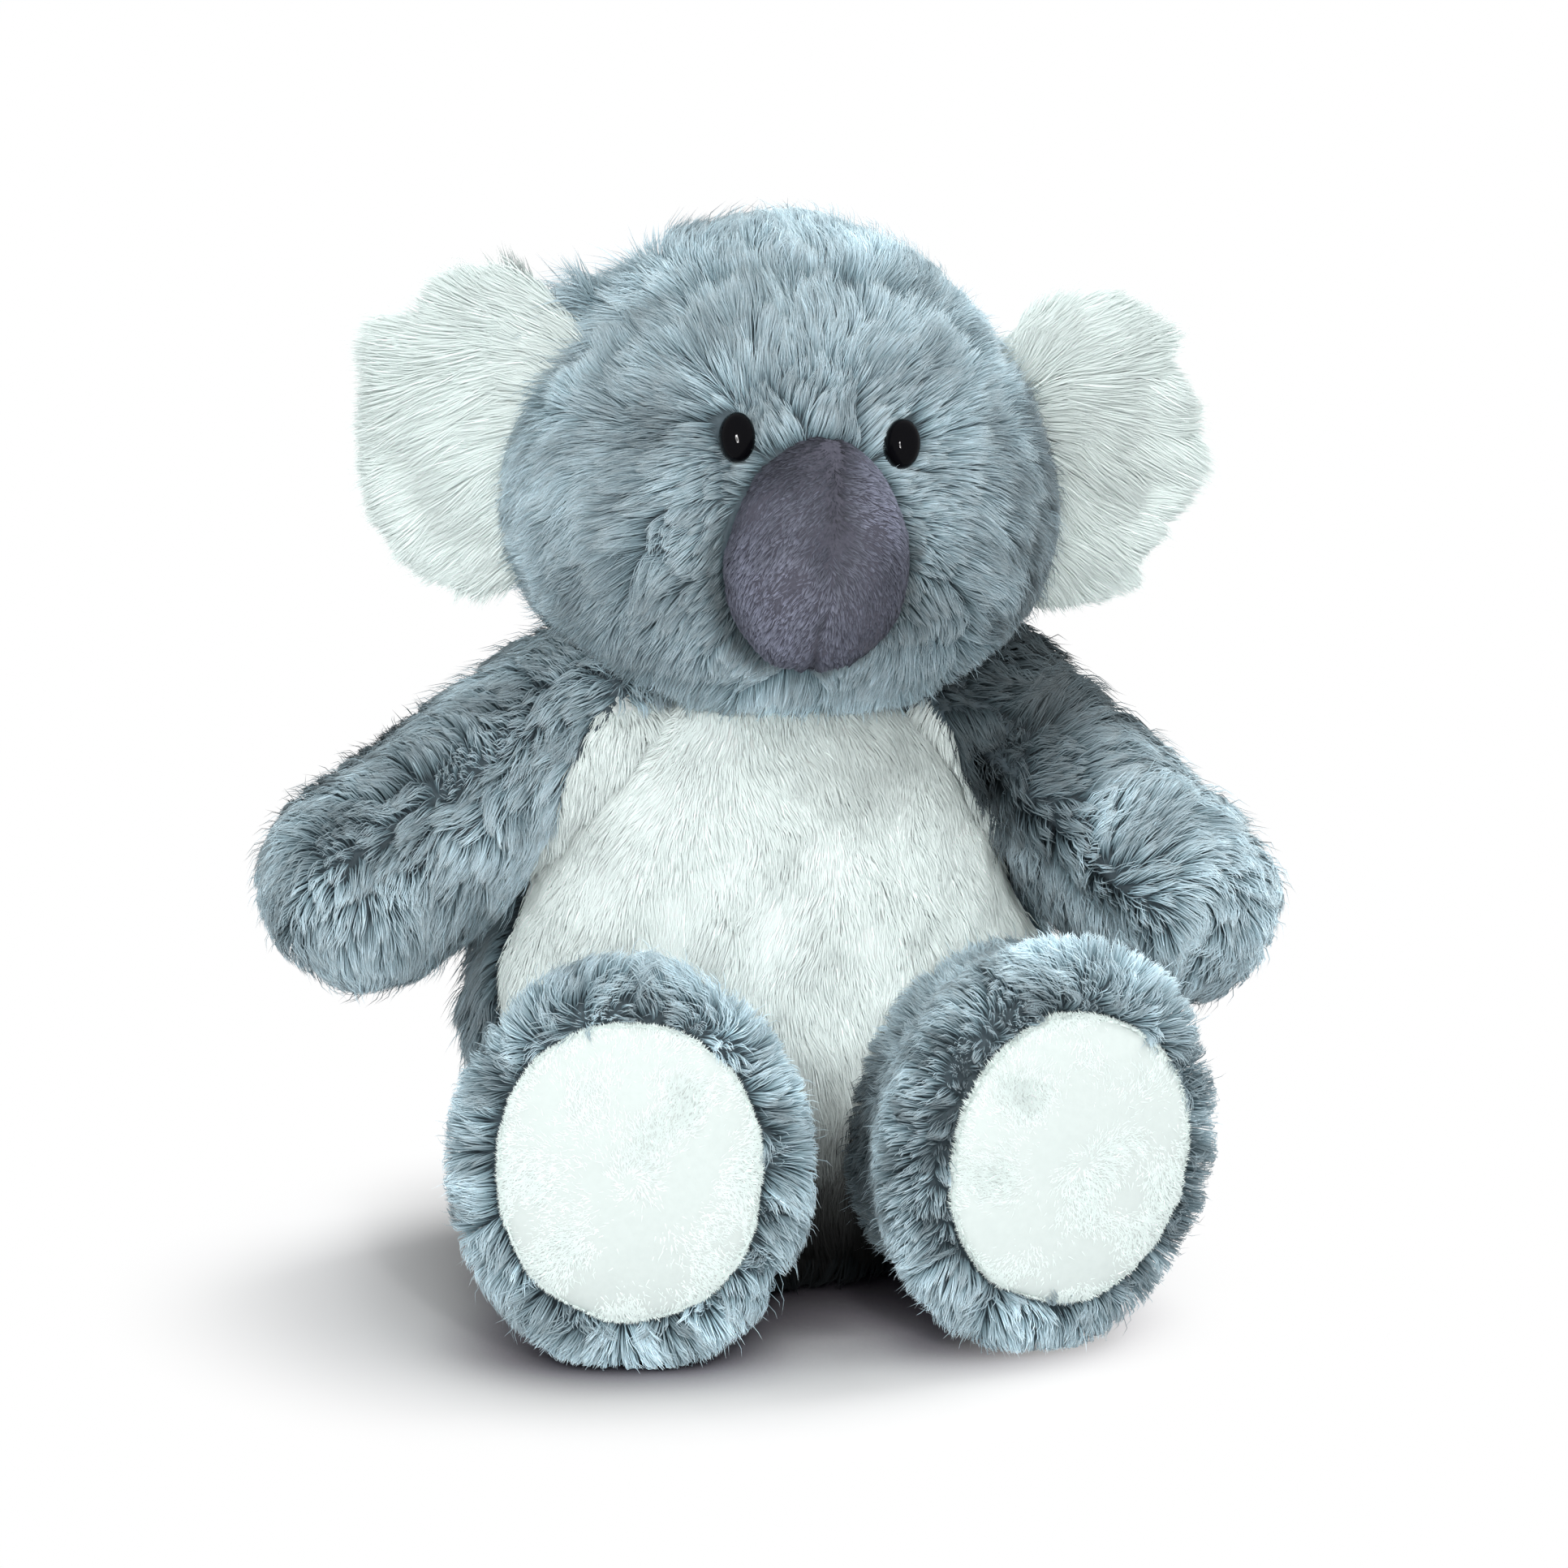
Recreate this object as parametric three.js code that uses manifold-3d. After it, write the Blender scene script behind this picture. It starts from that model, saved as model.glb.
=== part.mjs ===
// A seated plush koala: grey long-pile body, white belly, ear fronts and soles, a big padded nose
// and two black safety eyes. Lengths are in millimetres, +Z is up, and the face looks along -Y.
// The origin is on the floor, at the middle of the pressed underside of the body.

import * as THREE from 'three';
import { mergeVertices } from 'three/addons/utils/BufferGeometryUtils.js';
import Module from 'manifold-3d';

// Clearances and cloth
const seatGap = 0.3; // left between any two pieces that touch
const motionGap = 0.7; // left between a limb and what it swings against
const neckGap = 0.85; // left under the head, which turns on the body's dished top
const headTurnGap = 1.4; // left between the arms and the head, which is wider than it is deep and turns
const furCloth = 5; // long-pile cloth of the body, head and limbs, with its pile combed flat
const soleCloth = 2.5; // short-pile cloth of the soles
const noseCloth = 1.8; // velour of the nose
const pressedDepth = 0.5; // how far the soft underside is pressed flat by the floor

// Body, a pear turned about the vertical axis and flattened front to back
const bodyBaseRadius = 27;
const bodySeatRadius = 44;
const bodySeatHeight = 10;
const bodyBellyRadius = 55.5;
const bodyBellyHeight = 46;
const bodyChestRadius = 46;
const bodyChestHeight = 84;
const bodyNeckRadius = 31;
const bodyNeckHeight = 112;
const bodyTopHeight = 128;
const bodyDepthRatio = 0.85;

// White belly panel, seen from the front
const bellySeamBack = -10; // how far round the side the seam lies, as a Y value
const bellyTopHalfWidth = 30.5;
const bellyMidHalfWidth = 53.5;
const bellyMidHeight = 62;
const bellyLowHalfWidth = 34;
const bellyLowHeight = 9;

// Pellet bag in the seat
const pelletBagRadius = 36;
const pelletBagHeight = 20;

// Head, an egg with its fat end down
const headHalfWidth = 51.5;
const headHalfDepth = 48;
const headHalfHeight = 47.5;
const headTaper = 0.17;
const headAboveBody = 26.5; // its middle, above the top that the body would have without the head's dish
const headCentreHeight = bodyTopHeight + headAboveBody;
const headCentreAcross = 4.5; // the head leans over, so its middle lies beside the body's
const headRollDeg = 4.5; // the head leans to its left, so its right ear is the higher one
const neckHoleRadius = 21;
const gussetNoseHalfWidth = 14; // wide enough for its seams to run through the eyes
const gussetCrownHalfWidth = 22;
const gussetBackHalfWidth = 10;
const gussetBottomHeight = -16; // below the middle of the head

// Nose pad
const noseHalfWidth = 17.5;
const noseHalfHeight = 22.5;
const noseHalfDepth = 13;
const noseTaper = 0.12;
const noseHeight = -6; // its middle, below the middle of the head
const noseSunk = 1.5; // its middle, behind the foremost point of the head

// Safety eyes
const eyeHalfWidth = 3.4;
const eyeHalfHeight = 4.75;
const eyeDomeHeight = 3.6;
const eyeRimThickness = 1.2;
const eyeSpread = 16.2; // from the middle plane
const eyeHeight = 14.8; // above the middle of the head
const eyeSunk = 2.2; // base of the eye below the surface of the pile
const eyeStemRadius = 1.7;
const eyeStemLength = 10;
const washerRadius = 5.5;
const washerThickness = 1.4;

// Ears, oval dishes with the hollow side to the front
const earHalfWidth = 24;
const earHalfHeight = 30;
const earFrontThickness = 6;
const earBackThickness = 3.5;
const earRimThickness = 0.8;
const earCup = 5;
const earSpread = 56;
const earHeight = 4;
const earBehind = 4;
const earTurnDeg = 14; // each ear faces a little outward
const earRootSpread = 44; // the seam that each ear folds about, from the middle of the head

// Arms, with a round end about the shoulder and a fatter round end at the paw
const armRootRadius = 18.5;
const armPawRadius = 20;
const armPawAt = 52; // middle of the paw's round end, from the shoulder
const leftShoulder = new THREE.Vector3(-34, -8, 109);
const leftPaw = new THREE.Vector3(-78, -16, 80);
const rightShoulder = new THREE.Vector3(42, -8, 108);
const rightPaw = new THREE.Vector3(73, -31, 78);

// Legs, turned about the line from the hip to the middle of the sole
const legRootRadius = 24;
const legShinRadius = 29;
const legShinAt = 28;
const footRadius = 34;
const footRoundingLength = 14;
const footFaceRadius = 25;
const footHeightRatio = 1.15; // the foot is taller than it is wide
const legRootBehind = 22;
const soleRadius = 24.5;
const soleDome = 4;
const hipHeight = 35;
const leftHip = new THREE.Vector3(-28, -22, hipHeight);
const leftSoleX = -36.5;
const leftFootRollDeg = -2;
const rightHip = new THREE.Vector3(34, -22, hipHeight);
const rightSoleX = 49;
const rightFootRollDeg = 15;
const soleForward = 80; // middle of the sole in front of the body's middle

// How far each sewn-on part swings; the axes are set with the parts below
const armLowerDeg = -2;
const armRaiseDeg = 18;
const legLiftDeg = 25;
const earBackDeg = -12;
const earForwardDeg = 20;
const shoulderPivotRise = 9; // the shoulder seam gives at its upper edge
const hipPivotForward = 20; // the hip seam gives at its upper front edge
const hipPivotRise = 27;

// Mesh fineness
const bodySides = 24;
const bodyRings = 11;
const headSides = 24;
const headRings = 12;
const limbSides = 20;
const limbRings = 9;
const capRings = 5;
const smallSides = 16;
const smallRings = 5;
const sweepSteps = 3;

// Colours
const greyFur = new THREE.MeshStandardMaterial({ color: 0x8fa2ad, roughness: 0.95 });
const whiteFur = new THREE.MeshStandardMaterial({ color: 0xe9f1ee, roughness: 0.95 });
const soleVelour = new THREE.MeshStandardMaterial({ color: 0xeef2f4, roughness: 0.9 });
const noseVelour = new THREE.MeshStandardMaterial({ color: 0x6c6275, roughness: 0.8 });
const eyePlastic = new THREE.MeshStandardMaterial({ color: 0x060708, roughness: 0.08 });
const washerPlastic = new THREE.MeshStandardMaterial({ color: 0xe8e8e4, roughness: 0.5 });
const fibreFill = new THREE.MeshStandardMaterial({ color: 0xf6f5f0, roughness: 1 });
const pelletCloth = new THREE.MeshStandardMaterial({ color: 0xddd8cc, roughness: 0.9 });

const wasm = await Module();
wasm.setup();

const upward = new THREE.Vector3(0, 0, 1);
const farAway = 400; // larger than the toy, for blocks that cut off one side

// Solids from geometry, and back

function solidFrom(geometry) {
  const bare = geometry.clone();
  bare.deleteAttribute('normal');
  bare.deleteAttribute('uv');
  const merged = mergeVertices(bare, 1e-4);
  return new wasm.Manifold(new wasm.Mesh({
    numProp: 3,
    vertProperties: new Float32Array(merged.attributes.position.array),
    triVerts: new Uint32Array(merged.index.array),
  }));
}

function meshFrom(name, solid, material) {
  const result = solid.getMesh();
  const geometry = new THREE.BufferGeometry();
  geometry.setAttribute('position', new THREE.BufferAttribute(result.vertProperties, 3));
  geometry.setIndex(new THREE.BufferAttribute(result.triVerts, 1));
  geometry.computeVertexNormals();
  const mesh = new THREE.Mesh(geometry, material);
  mesh.name = name;
  return mesh;
}

// Turned forms: a profile of (radius, height) points from the lower pole to the upper one

function turned(profile, sides, depthRatio = 1) {
  const geometry = new THREE.LatheGeometry(profile, sides);
  geometry.rotateX(Math.PI / 2);
  geometry.scale(1, depthRatio, 1);
  return geometry;
}

// Moves each point of a profile inwards, square to the profile; a negative inset grows the form.
function insetProfile(points, inset) {
  const last = points.length - 1;
  return points.map((point, i) => {
    if (i === 0) {
      return new THREE.Vector2(0, point.y + inset);
    }
    if (i === last) {
      return new THREE.Vector2(0, point.y - inset);
    }
    const along = points[i + 1].clone().sub(points[i - 1]).normalize();
    return new THREE.Vector2(point.x - along.y * inset, point.y + along.x * inset);
  });
}

function splineProfile(stations, rings, inset) {
  const curve = new THREE.SplineCurve(stations.map(([radius, height]) => new THREE.Vector2(radius, height)));
  const points = curve.getSpacedPoints(rings);
  points[0].x = 0;
  points[rings].x = 0;
  return insetProfile(points, inset);
}

// An egg that is halfHeight tall each way; a taper above 0 makes its lower end the fat one.
function eggProfile(radius, halfHeight, taper, rings) {
  const points = [];
  for (let i = 0; i <= rings; i += 1) {
    const angle = Math.PI * (i / rings - 0.5);
    const across = i === 0 || i === rings ? 0 : radius * Math.cos(angle) * (1 - taper * Math.sin(angle));
    points.push(new THREE.Vector2(across, halfHeight * Math.sin(angle)));
  }
  return points;
}

// Frames: where each part sits, as groups nested the way the toy is sewn

const root = new THREE.Group();

function frameAt(parent, position) {
  const frame = new THREE.Group();
  frame.position.copy(position);
  parent.add(frame);
  return frame;
}

// A frame at one point whose +Z looks at another, with +Y up and rolled about that line.
function frameAlong(from, to, rollDeg) {
  const frame = frameAt(root, from);
  const roll = THREE.MathUtils.degToRad(rollDeg);
  frame.up.set(Math.sin(roll), 0, Math.cos(roll));
  frame.lookAt(to);
  return frame;
}

// A geometry built in one frame, seen from another.
function seenFrom(frame, geometry, builtIn) {
  root.updateMatrixWorld(true);
  const moved = geometry.clone();
  moved.applyMatrix4(builtIn.matrixWorld);
  moved.applyMatrix4(frame.matrixWorld.clone().invert());
  return moved;
}

// The space that an obstacle takes up while a part swings: the obstacle turned back by each angle.
function sweptObstacle(frame, obstacle, builtIn, pivot, axis, anglesDeg) {
  let swept = null;
  for (const angle of anglesDeg) {
    const turn = new THREE.Matrix4().makeTranslation(pivot);
    turn.multiply(new THREE.Matrix4().makeRotationAxis(axis, THREE.MathUtils.degToRad(-angle)));
    turn.multiply(new THREE.Matrix4().makeTranslation(pivot.clone().negate()));
    root.updateMatrixWorld(true);
    const moved = obstacle.clone();
    moved.applyMatrix4(builtIn.matrixWorld);
    moved.applyMatrix4(turn);
    moved.applyMatrix4(frame.matrixWorld.clone().invert());
    const solid = solidFrom(moved);
    swept = swept ? swept.add(solid) : solid;
  }
  return swept;
}

function anglesBetween(low, high) {
  return Array.from({ length: sweepSteps }, (_, i) => low + ((high - low) * i) / (sweepSteps - 1));
}

function blockGeometry(low, high) {
  const block = new THREE.BoxGeometry(high.x - low.x, high.y - low.y, high.z - low.z);
  block.translate((low.x + high.x) / 2, (low.y + high.y) / 2, (low.z + high.z) / 2);
  return block;
}

const floorBlock = blockGeometry(
  new THREE.Vector3(-farAway, -farAway, -farAway),
  new THREE.Vector3(farAway, farAway, 0),
);

function aboveFloor(frame, solid) {
  return solid.subtract(solidFrom(seenFrom(frame, floorBlock, root)));
}

// Head form, wanted by the body and the arms too

const headFrame = frameAt(root, new THREE.Vector3(headCentreAcross, 0, headCentreHeight));
headFrame.rotation.y = THREE.MathUtils.degToRad(headRollDeg);

function headForm(inset) {
  const profile = eggProfile(headHalfWidth - inset, headHalfHeight - inset, headTaper, headRings);
  return turned(profile, headSides, (headHalfDepth - inset) / (headHalfWidth - inset));
}

// The point of the head's surface at a place across and a height, on the face.
function facePoint(across, height) {
  const sine = height / headHalfHeight;
  const ring = Math.sqrt(1 - sine * sine) * (1 - headTaper * sine);
  const sideways = across / (headHalfWidth * ring);
  return new THREE.Vector3(across, -headHalfDepth * ring * Math.sqrt(1 - sideways * sideways), height);
}

// Body

function bodyForm(inset) {
  const profile = splineProfile([
    [0, -pressedDepth],
    [bodyBaseRadius, 0],
    [bodySeatRadius, bodySeatHeight],
    [bodyBellyRadius, bodyBellyHeight],
    [bodyChestRadius, bodyChestHeight],
    [bodyNeckRadius, bodyNeckHeight],
    [0, bodyTopHeight],
  ], bodyRings, inset);
  return turned(profile, bodySides, bodyDepthRatio);
}

function bellyOutline(grow) {
  const outline = new THREE.Shape();
  outline.moveTo(0, bellyLowHeight - grow);
  outline.lineTo(bellyLowHalfWidth + grow, bellyLowHeight - grow);
  outline.quadraticCurveTo(
    bellyMidHalfWidth + grow, bellyLowHeight - grow,
    bellyMidHalfWidth + grow, bellyMidHeight,
  );
  outline.lineTo(bellyTopHalfWidth + grow, bodyTopHeight + grow);
  outline.lineTo(-bellyTopHalfWidth - grow, bodyTopHeight + grow);
  outline.lineTo(-bellyMidHalfWidth - grow, bellyMidHeight);
  outline.quadraticCurveTo(
    -bellyMidHalfWidth - grow, bellyLowHeight - grow,
    -bellyLowHalfWidth - grow, bellyLowHeight - grow,
  );
  const block = new THREE.ExtrudeGeometry(outline, { depth: farAway, bevelEnabled: false, curveSegments: 5 });
  block.rotateX(Math.PI / 2);
  block.translate(0, bellySeamBack + grow, 0);
  return block;
}

function pelletBagForm(grow) {
  const low = furCloth + seatGap - pressedDepth;
  const halfHeight = pelletBagHeight / 2;
  const profile = eggProfile(pelletBagRadius + grow, halfHeight + grow, 0, smallRings);
  const bag = turned(profile, limbSides, bodyDepthRatio);
  bag.translate(0, 0, low + halfHeight);
  return bag;
}

function addBody() {
  const head = solidFrom(seenFrom(root, headForm(-neckGap), headFrame));
  const cover = solidFrom(bodyForm(0)).subtract(solidFrom(bodyForm(furCloth))).subtract(head);
  const inside = solidFrom(bodyForm(furCloth + seatGap)).subtract(head);
  const bagSpace = solidFrom(pelletBagForm(seatGap));
  const back = aboveFloor(root, cover.subtract(solidFrom(bellyOutline(seatGap))));
  root.add(
    meshFrom('body_back_panel', back, greyFur),
    meshFrom('belly_panel', aboveFloor(root, cover.intersect(solidFrom(bellyOutline(0)))), whiteFur),
    meshFrom('body_filling', inside.subtract(bagSpace), fibreFill),
    meshFrom('pellet_bag', solidFrom(pelletBagForm(0)), pelletCloth),
  );
}

// Head: a gusset over the crown, two side panels, filling, nose and eyes

function gussetBlock(grow) {
  const back = headHalfDepth * (1 + headTaper);
  const front = -back;
  const outline = new THREE.Shape();
  outline.moveTo(-gussetNoseHalfWidth - grow, front - grow);
  outline.quadraticCurveTo(-gussetCrownHalfWidth - grow, front / 2, -gussetCrownHalfWidth - grow, 0);
  outline.lineTo(-gussetBackHalfWidth - grow, back + grow);
  outline.lineTo(gussetBackHalfWidth + grow, back + grow);
  outline.lineTo(gussetCrownHalfWidth + grow, 0);
  outline.quadraticCurveTo(gussetCrownHalfWidth + grow, front / 2, gussetNoseHalfWidth + grow, front - grow);
  const block = new THREE.ExtrudeGeometry(outline, { depth: farAway, bevelEnabled: false, curveSegments: 5 });
  block.translate(0, 0, gussetBottomHeight - grow);
  return block;
}

function sideBlock(side) {
  const near = (side * seatGap) / 2;
  const far = side * farAway;
  return blockGeometry(
    new THREE.Vector3(Math.min(near, far), -farAway, -farAway),
    new THREE.Vector3(Math.max(near, far), farAway, farAway),
  );
}

// The eye looks along its own +Z, with its base on the plane Z = 0.
function eyeSolid(grow) {
  const rim = -eyeRimThickness - grow;
  const dome = [new THREE.Vector2(0, rim), new THREE.Vector2(eyeHalfWidth + grow, rim)];
  for (let i = 0; i <= smallRings; i += 1) {
    const angle = (Math.PI / 2) * (i / smallRings);
    const radius = i === smallRings ? 0 : (eyeHalfWidth + grow) * Math.cos(angle);
    dome.push(new THREE.Vector2(radius, (eyeDomeHeight + grow) * Math.sin(angle)));
  }
  const button = turned(dome, smallSides, eyeHalfHeight / eyeHalfWidth);
  const stem = new THREE.CylinderGeometry(
    eyeStemRadius + grow, eyeStemRadius + grow, eyeStemLength + grow, smallSides,
  );
  stem.rotateX(Math.PI / 2);
  stem.translate(0, 0, rim + 0.5 * eyeRimThickness - (eyeStemLength + grow) / 2);
  return solidFrom(button).add(solidFrom(stem));
}

// Height of the washer's outer face on the eye's own axis: inside the cloth, by more at its rim
// because the face curves away and the washer is flat.
const washerTop = eyeSunk - furCloth - seatGap - washerRadius ** 2 / headHalfDepth;

function washerForm(hole, radius, thickness) {
  const ring = [
    new THREE.Vector2(hole, washerTop - thickness),
    new THREE.Vector2(radius, washerTop - thickness),
    new THREE.Vector2(radius, washerTop),
    new THREE.Vector2(hole, washerTop),
    new THREE.Vector2(hole, washerTop - thickness),
  ];
  return turned(ring, smallSides);
}

function washerPocket() {
  const pocket = new THREE.CylinderGeometry(
    washerRadius + seatGap, washerRadius + seatGap, furCloth + washerThickness, smallSides,
  );
  pocket.rotateX(Math.PI / 2);
  pocket.translate(0, 0, washerTop - washerThickness - seatGap + (furCloth + washerThickness) / 2);
  return pocket;
}

function eyeFrame(side) {
  const surface = facePoint(side * eyeSpread, eyeHeight);
  const across = facePoint(side * eyeSpread + 1, eyeHeight).sub(surface);
  const up = facePoint(side * eyeSpread, eyeHeight + 1).sub(surface);
  const outward = across.cross(up).normalize();
  const frame = frameAt(headFrame, surface.clone().addScaledVector(outward, -eyeSunk));
  frame.quaternion.setFromUnitVectors(upward, outward);
  return frame;
}

// A solid made in a child frame, as seen from the head.
function inHead(solid, frame) {
  return solidFrom(seenFrom(headFrame, meshFrom('', solid, null).geometry, frame));
}

function addHead() {
  const neckHole = new THREE.CylinderGeometry(neckHoleRadius, neckHoleRadius, headHalfHeight, limbSides);
  neckHole.rotateX(Math.PI / 2);
  neckHole.translate(0, 0, -headHalfHeight);
  let cover = solidFrom(headForm(0)).subtract(solidFrom(headForm(furCloth))).subtract(solidFrom(neckHole));
  let filling = solidFrom(headForm(furCloth + seatGap));
  const eyes = [];
  for (const [name, side] of [['left', -1], ['right', 1]]) {
    const frame = eyeFrame(side);
    const eyeSpace = inHead(eyeSolid(seatGap), frame);
    cover = cover.subtract(eyeSpace);
    filling = filling.subtract(eyeSpace).subtract(inHead(solidFrom(washerPocket()), frame));
    const washer = solidFrom(washerForm(eyeStemRadius + seatGap, washerRadius, washerThickness));
    frame.add(
      meshFrom(`${name}_eye`, eyeSolid(0), eyePlastic),
      meshFrom(`${name}_eye_washer`, washer, washerPlastic),
    );
    eyes.push(frame);
  }
  const gusset = cover.intersect(solidFrom(gussetBlock(0)));
  const sides = cover.subtract(solidFrom(gussetBlock(seatGap)));
  headFrame.add(
    meshFrom('head_gusset', gusset, greyFur),
    meshFrom('head_left_panel', sides.intersect(solidFrom(sideBlock(-1))), greyFur),
    meshFrom('head_right_panel', sides.intersect(solidFrom(sideBlock(1))), greyFur),
    meshFrom('head_filling', filling, fibreFill),
    ...eyes,
  );
}

function noseForm(inset) {
  const profile = eggProfile(noseHalfWidth - inset, noseHalfHeight - inset, noseTaper, limbRings);
  return turned(profile, smallSides, (noseHalfDepth - inset) / (noseHalfWidth - inset));
}

function addNose() {
  const frame = frameAt(headFrame, new THREE.Vector3(0, noseSunk - headHalfDepth, noseHeight));
  const face = solidFrom(seenFrom(frame, headForm(-seatGap), headFrame));
  const outside = solidFrom(noseForm(0)).subtract(face);
  frame.add(
    meshFrom('nose_cover', outside.subtract(solidFrom(noseForm(noseCloth))), noseVelour),
    meshFrom('nose_filling', solidFrom(noseForm(noseCloth + seatGap)).subtract(face), fibreFill),
  );
}

// Ears

// One sheet of the ear, in front of (-1) or behind (1) its cupped middle surface.
function earForm(thickness, side) {
  const middle = [];
  const face = [];
  for (let i = 0; i <= smallRings; i += 1) {
    const share = i / smallRings;
    const cup = earCup * (1 - share * share) + (side * seatGap) / 2;
    const bulge = Math.sqrt(1 - share * share);
    const sheet = earRimThickness + (thickness - earRimThickness) * bulge;
    middle.push(new THREE.Vector2(share, cup));
    face.push(new THREE.Vector2(share, cup + side * sheet));
  }
  const profile = side > 0 ? [...middle, ...face.reverse()] : [...face, ...middle.reverse()];
  const geometry = new THREE.LatheGeometry(profile, smallSides);
  geometry.scale(earHalfWidth, 1, earHalfHeight);
  return geometry;
}

function addEar(name, side) {
  const frame = frameAt(headFrame, new THREE.Vector3(side * earSpread, earBehind, earHeight));
  frame.rotation.z = THREE.MathUtils.degToRad(side * earTurnDeg);
  root.updateMatrixWorld(true);
  const fold = headFrame.localToWorld(new THREE.Vector3(side * earRootSpread, earBehind, earHeight));
  const foldAxis = new THREE.Vector3(0, 0, -side).transformDirection(headFrame.matrixWorld);
  const folds = anglesBetween(earBackDeg, earForwardDeg);
  const head = sweptObstacle(frame, headForm(-motionGap), headFrame, fold, foldAxis, folds);
  frame.add(
    meshFrom(`${name}_ear_front`, solidFrom(earForm(earFrontThickness, -1)).subtract(head), whiteFur),
    meshFrom(`${name}_ear_back`, solidFrom(earForm(earBackThickness, 1)).subtract(head), greyFur),
  );
}

// Arms

// A limb with two round ends, joined by the straight line that touches both.
function armForm(inset) {
  const lean = Math.asin((armRootRadius - armPawRadius) / armPawAt);
  const points = [];
  for (let i = 0; i <= capRings; i += 1) {
    const angle = -Math.PI / 2 + (Math.PI / 2 + lean) * (i / capRings);
    points.push(new THREE.Vector2(armRootRadius * Math.cos(angle), armRootRadius * Math.sin(angle)));
  }
  for (let i = 0; i <= capRings; i += 1) {
    const angle = lean + (Math.PI / 2 - lean) * (i / capRings);
    points.push(new THREE.Vector2(armPawRadius * Math.cos(angle), armPawAt + armPawRadius * Math.sin(angle)));
  }
  return turned(insetProfile(points, inset), limbSides);
}

function addArm(name, shoulder, paw, raiseAxis) {
  const frame = frameAlong(shoulder, paw, 0);
  const pivot = shoulder.clone().addScaledVector(upward, shoulderPivotRise);
  const swing = anglesBetween(armLowerDeg, armRaiseDeg);
  const body = sweptObstacle(frame, bodyForm(-motionGap), root, pivot, raiseAxis, swing);
  const head = sweptObstacle(frame, headForm(-headTurnGap), headFrame, pivot, raiseAxis, swing);
  const trunk = body.add(head);
  const cover = solidFrom(armForm(0)).subtract(solidFrom(armForm(furCloth)));
  frame.add(
    meshFrom(`${name}_arm_cover`, cover.subtract(trunk), greyFur),
    meshFrom(`${name}_arm_filling`, solidFrom(armForm(furCloth + seatGap)).subtract(trunk), fibreFill),
  );
}

// Legs

function legLength(hip, sole) {
  return sole.distanceTo(hip);
}

function legForm(length, inset) {
  const profile = splineProfile([
    [0, -legRootBehind],
    [legRootRadius, -legRootBehind / 3],
    [legShinRadius, legShinAt],
    [footRadius, length - footRoundingLength],
    [footFaceRadius, length - soleDome],
    [0, length],
  ], limbRings + 2, inset);
  return turned(profile, limbSides, footHeightRatio);
}

function soleBlock(length, grow) {
  const radius = soleRadius + grow;
  const block = new THREE.CylinderGeometry(radius, radius, footRoundingLength + soleCloth, limbSides);
  block.rotateX(Math.PI / 2);
  block.scale(1, footHeightRatio, 1);
  block.translate(0, 0, length);
  return block;
}

function addLeg(name, hip, soleX, rollDeg) {
  const soleHeight = footRadius * footHeightRatio - pressedDepth;
  const sole = new THREE.Vector3(soleX, -soleForward, soleHeight);
  const length = legLength(hip, sole);
  const frame = frameAlong(hip, sole, rollDeg);
  const pivot = hip.clone().add(new THREE.Vector3(0, -hipPivotForward, hipPivotRise));
  const lift = anglesBetween(0, legLiftDeg);
  const body = sweptObstacle(frame, bodyForm(-motionGap), root, pivot, new THREE.Vector3(-1, 0, 0), lift);
  const outside = solidFrom(legForm(length, 0)).subtract(body);
  const cloth = solidFrom(legForm(length, soleCloth));
  const shell = outside.subtract(solidFrom(legForm(length, furCloth)));
  const cover = shell.subtract(solidFrom(soleBlock(length, seatGap)));
  const underSole = solidFrom(soleBlock(length, 0));
  const behindSole = solidFrom(legForm(length, soleCloth + seatGap)).intersect(underSole);
  const filling = solidFrom(legForm(length, furCloth + seatGap)).add(behindSole).subtract(body);
  frame.add(
    meshFrom(`${name}_leg_cover`, aboveFloor(frame, cover), greyFur),
    meshFrom(`${name}_sole`, outside.subtract(cloth).intersect(underSole), soleVelour),
    meshFrom(`${name}_leg_filling`, aboveFloor(frame, filling), fibreFill),
  );
}

addBody();
addHead();
addNose();
addEar('left', -1);
addEar('right', 1);
addArm('left', leftShoulder, leftPaw, new THREE.Vector3(0, 1, 0));
addArm('right', rightShoulder, rightPaw, new THREE.Vector3(0, -1, 0));
addLeg('left', leftHip, leftSoleX, leftFootRollDeg);
addLeg('right', rightHip, rightSoleX, rightFootRollDeg);

export default root;
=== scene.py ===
"""Looks for a seated plush koala: sewn skins, long-pile fur, a padded nose, glossy eyes and soft soles.

Points are in metres. Names that end in _MM or _mm hold millimetres. A form's own places, and the lengths
that the functions named reach and press give, are in millimetres too. The face looks along -Y, +Z is up,
and the floor is at Z = 0. Fur is real geometry: each strand is a thin closed spike, grown from the skin.
"""

import math
from dataclasses import dataclass
from functools import partial

import bpy
import numpy as np
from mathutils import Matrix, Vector, kdtree


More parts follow.
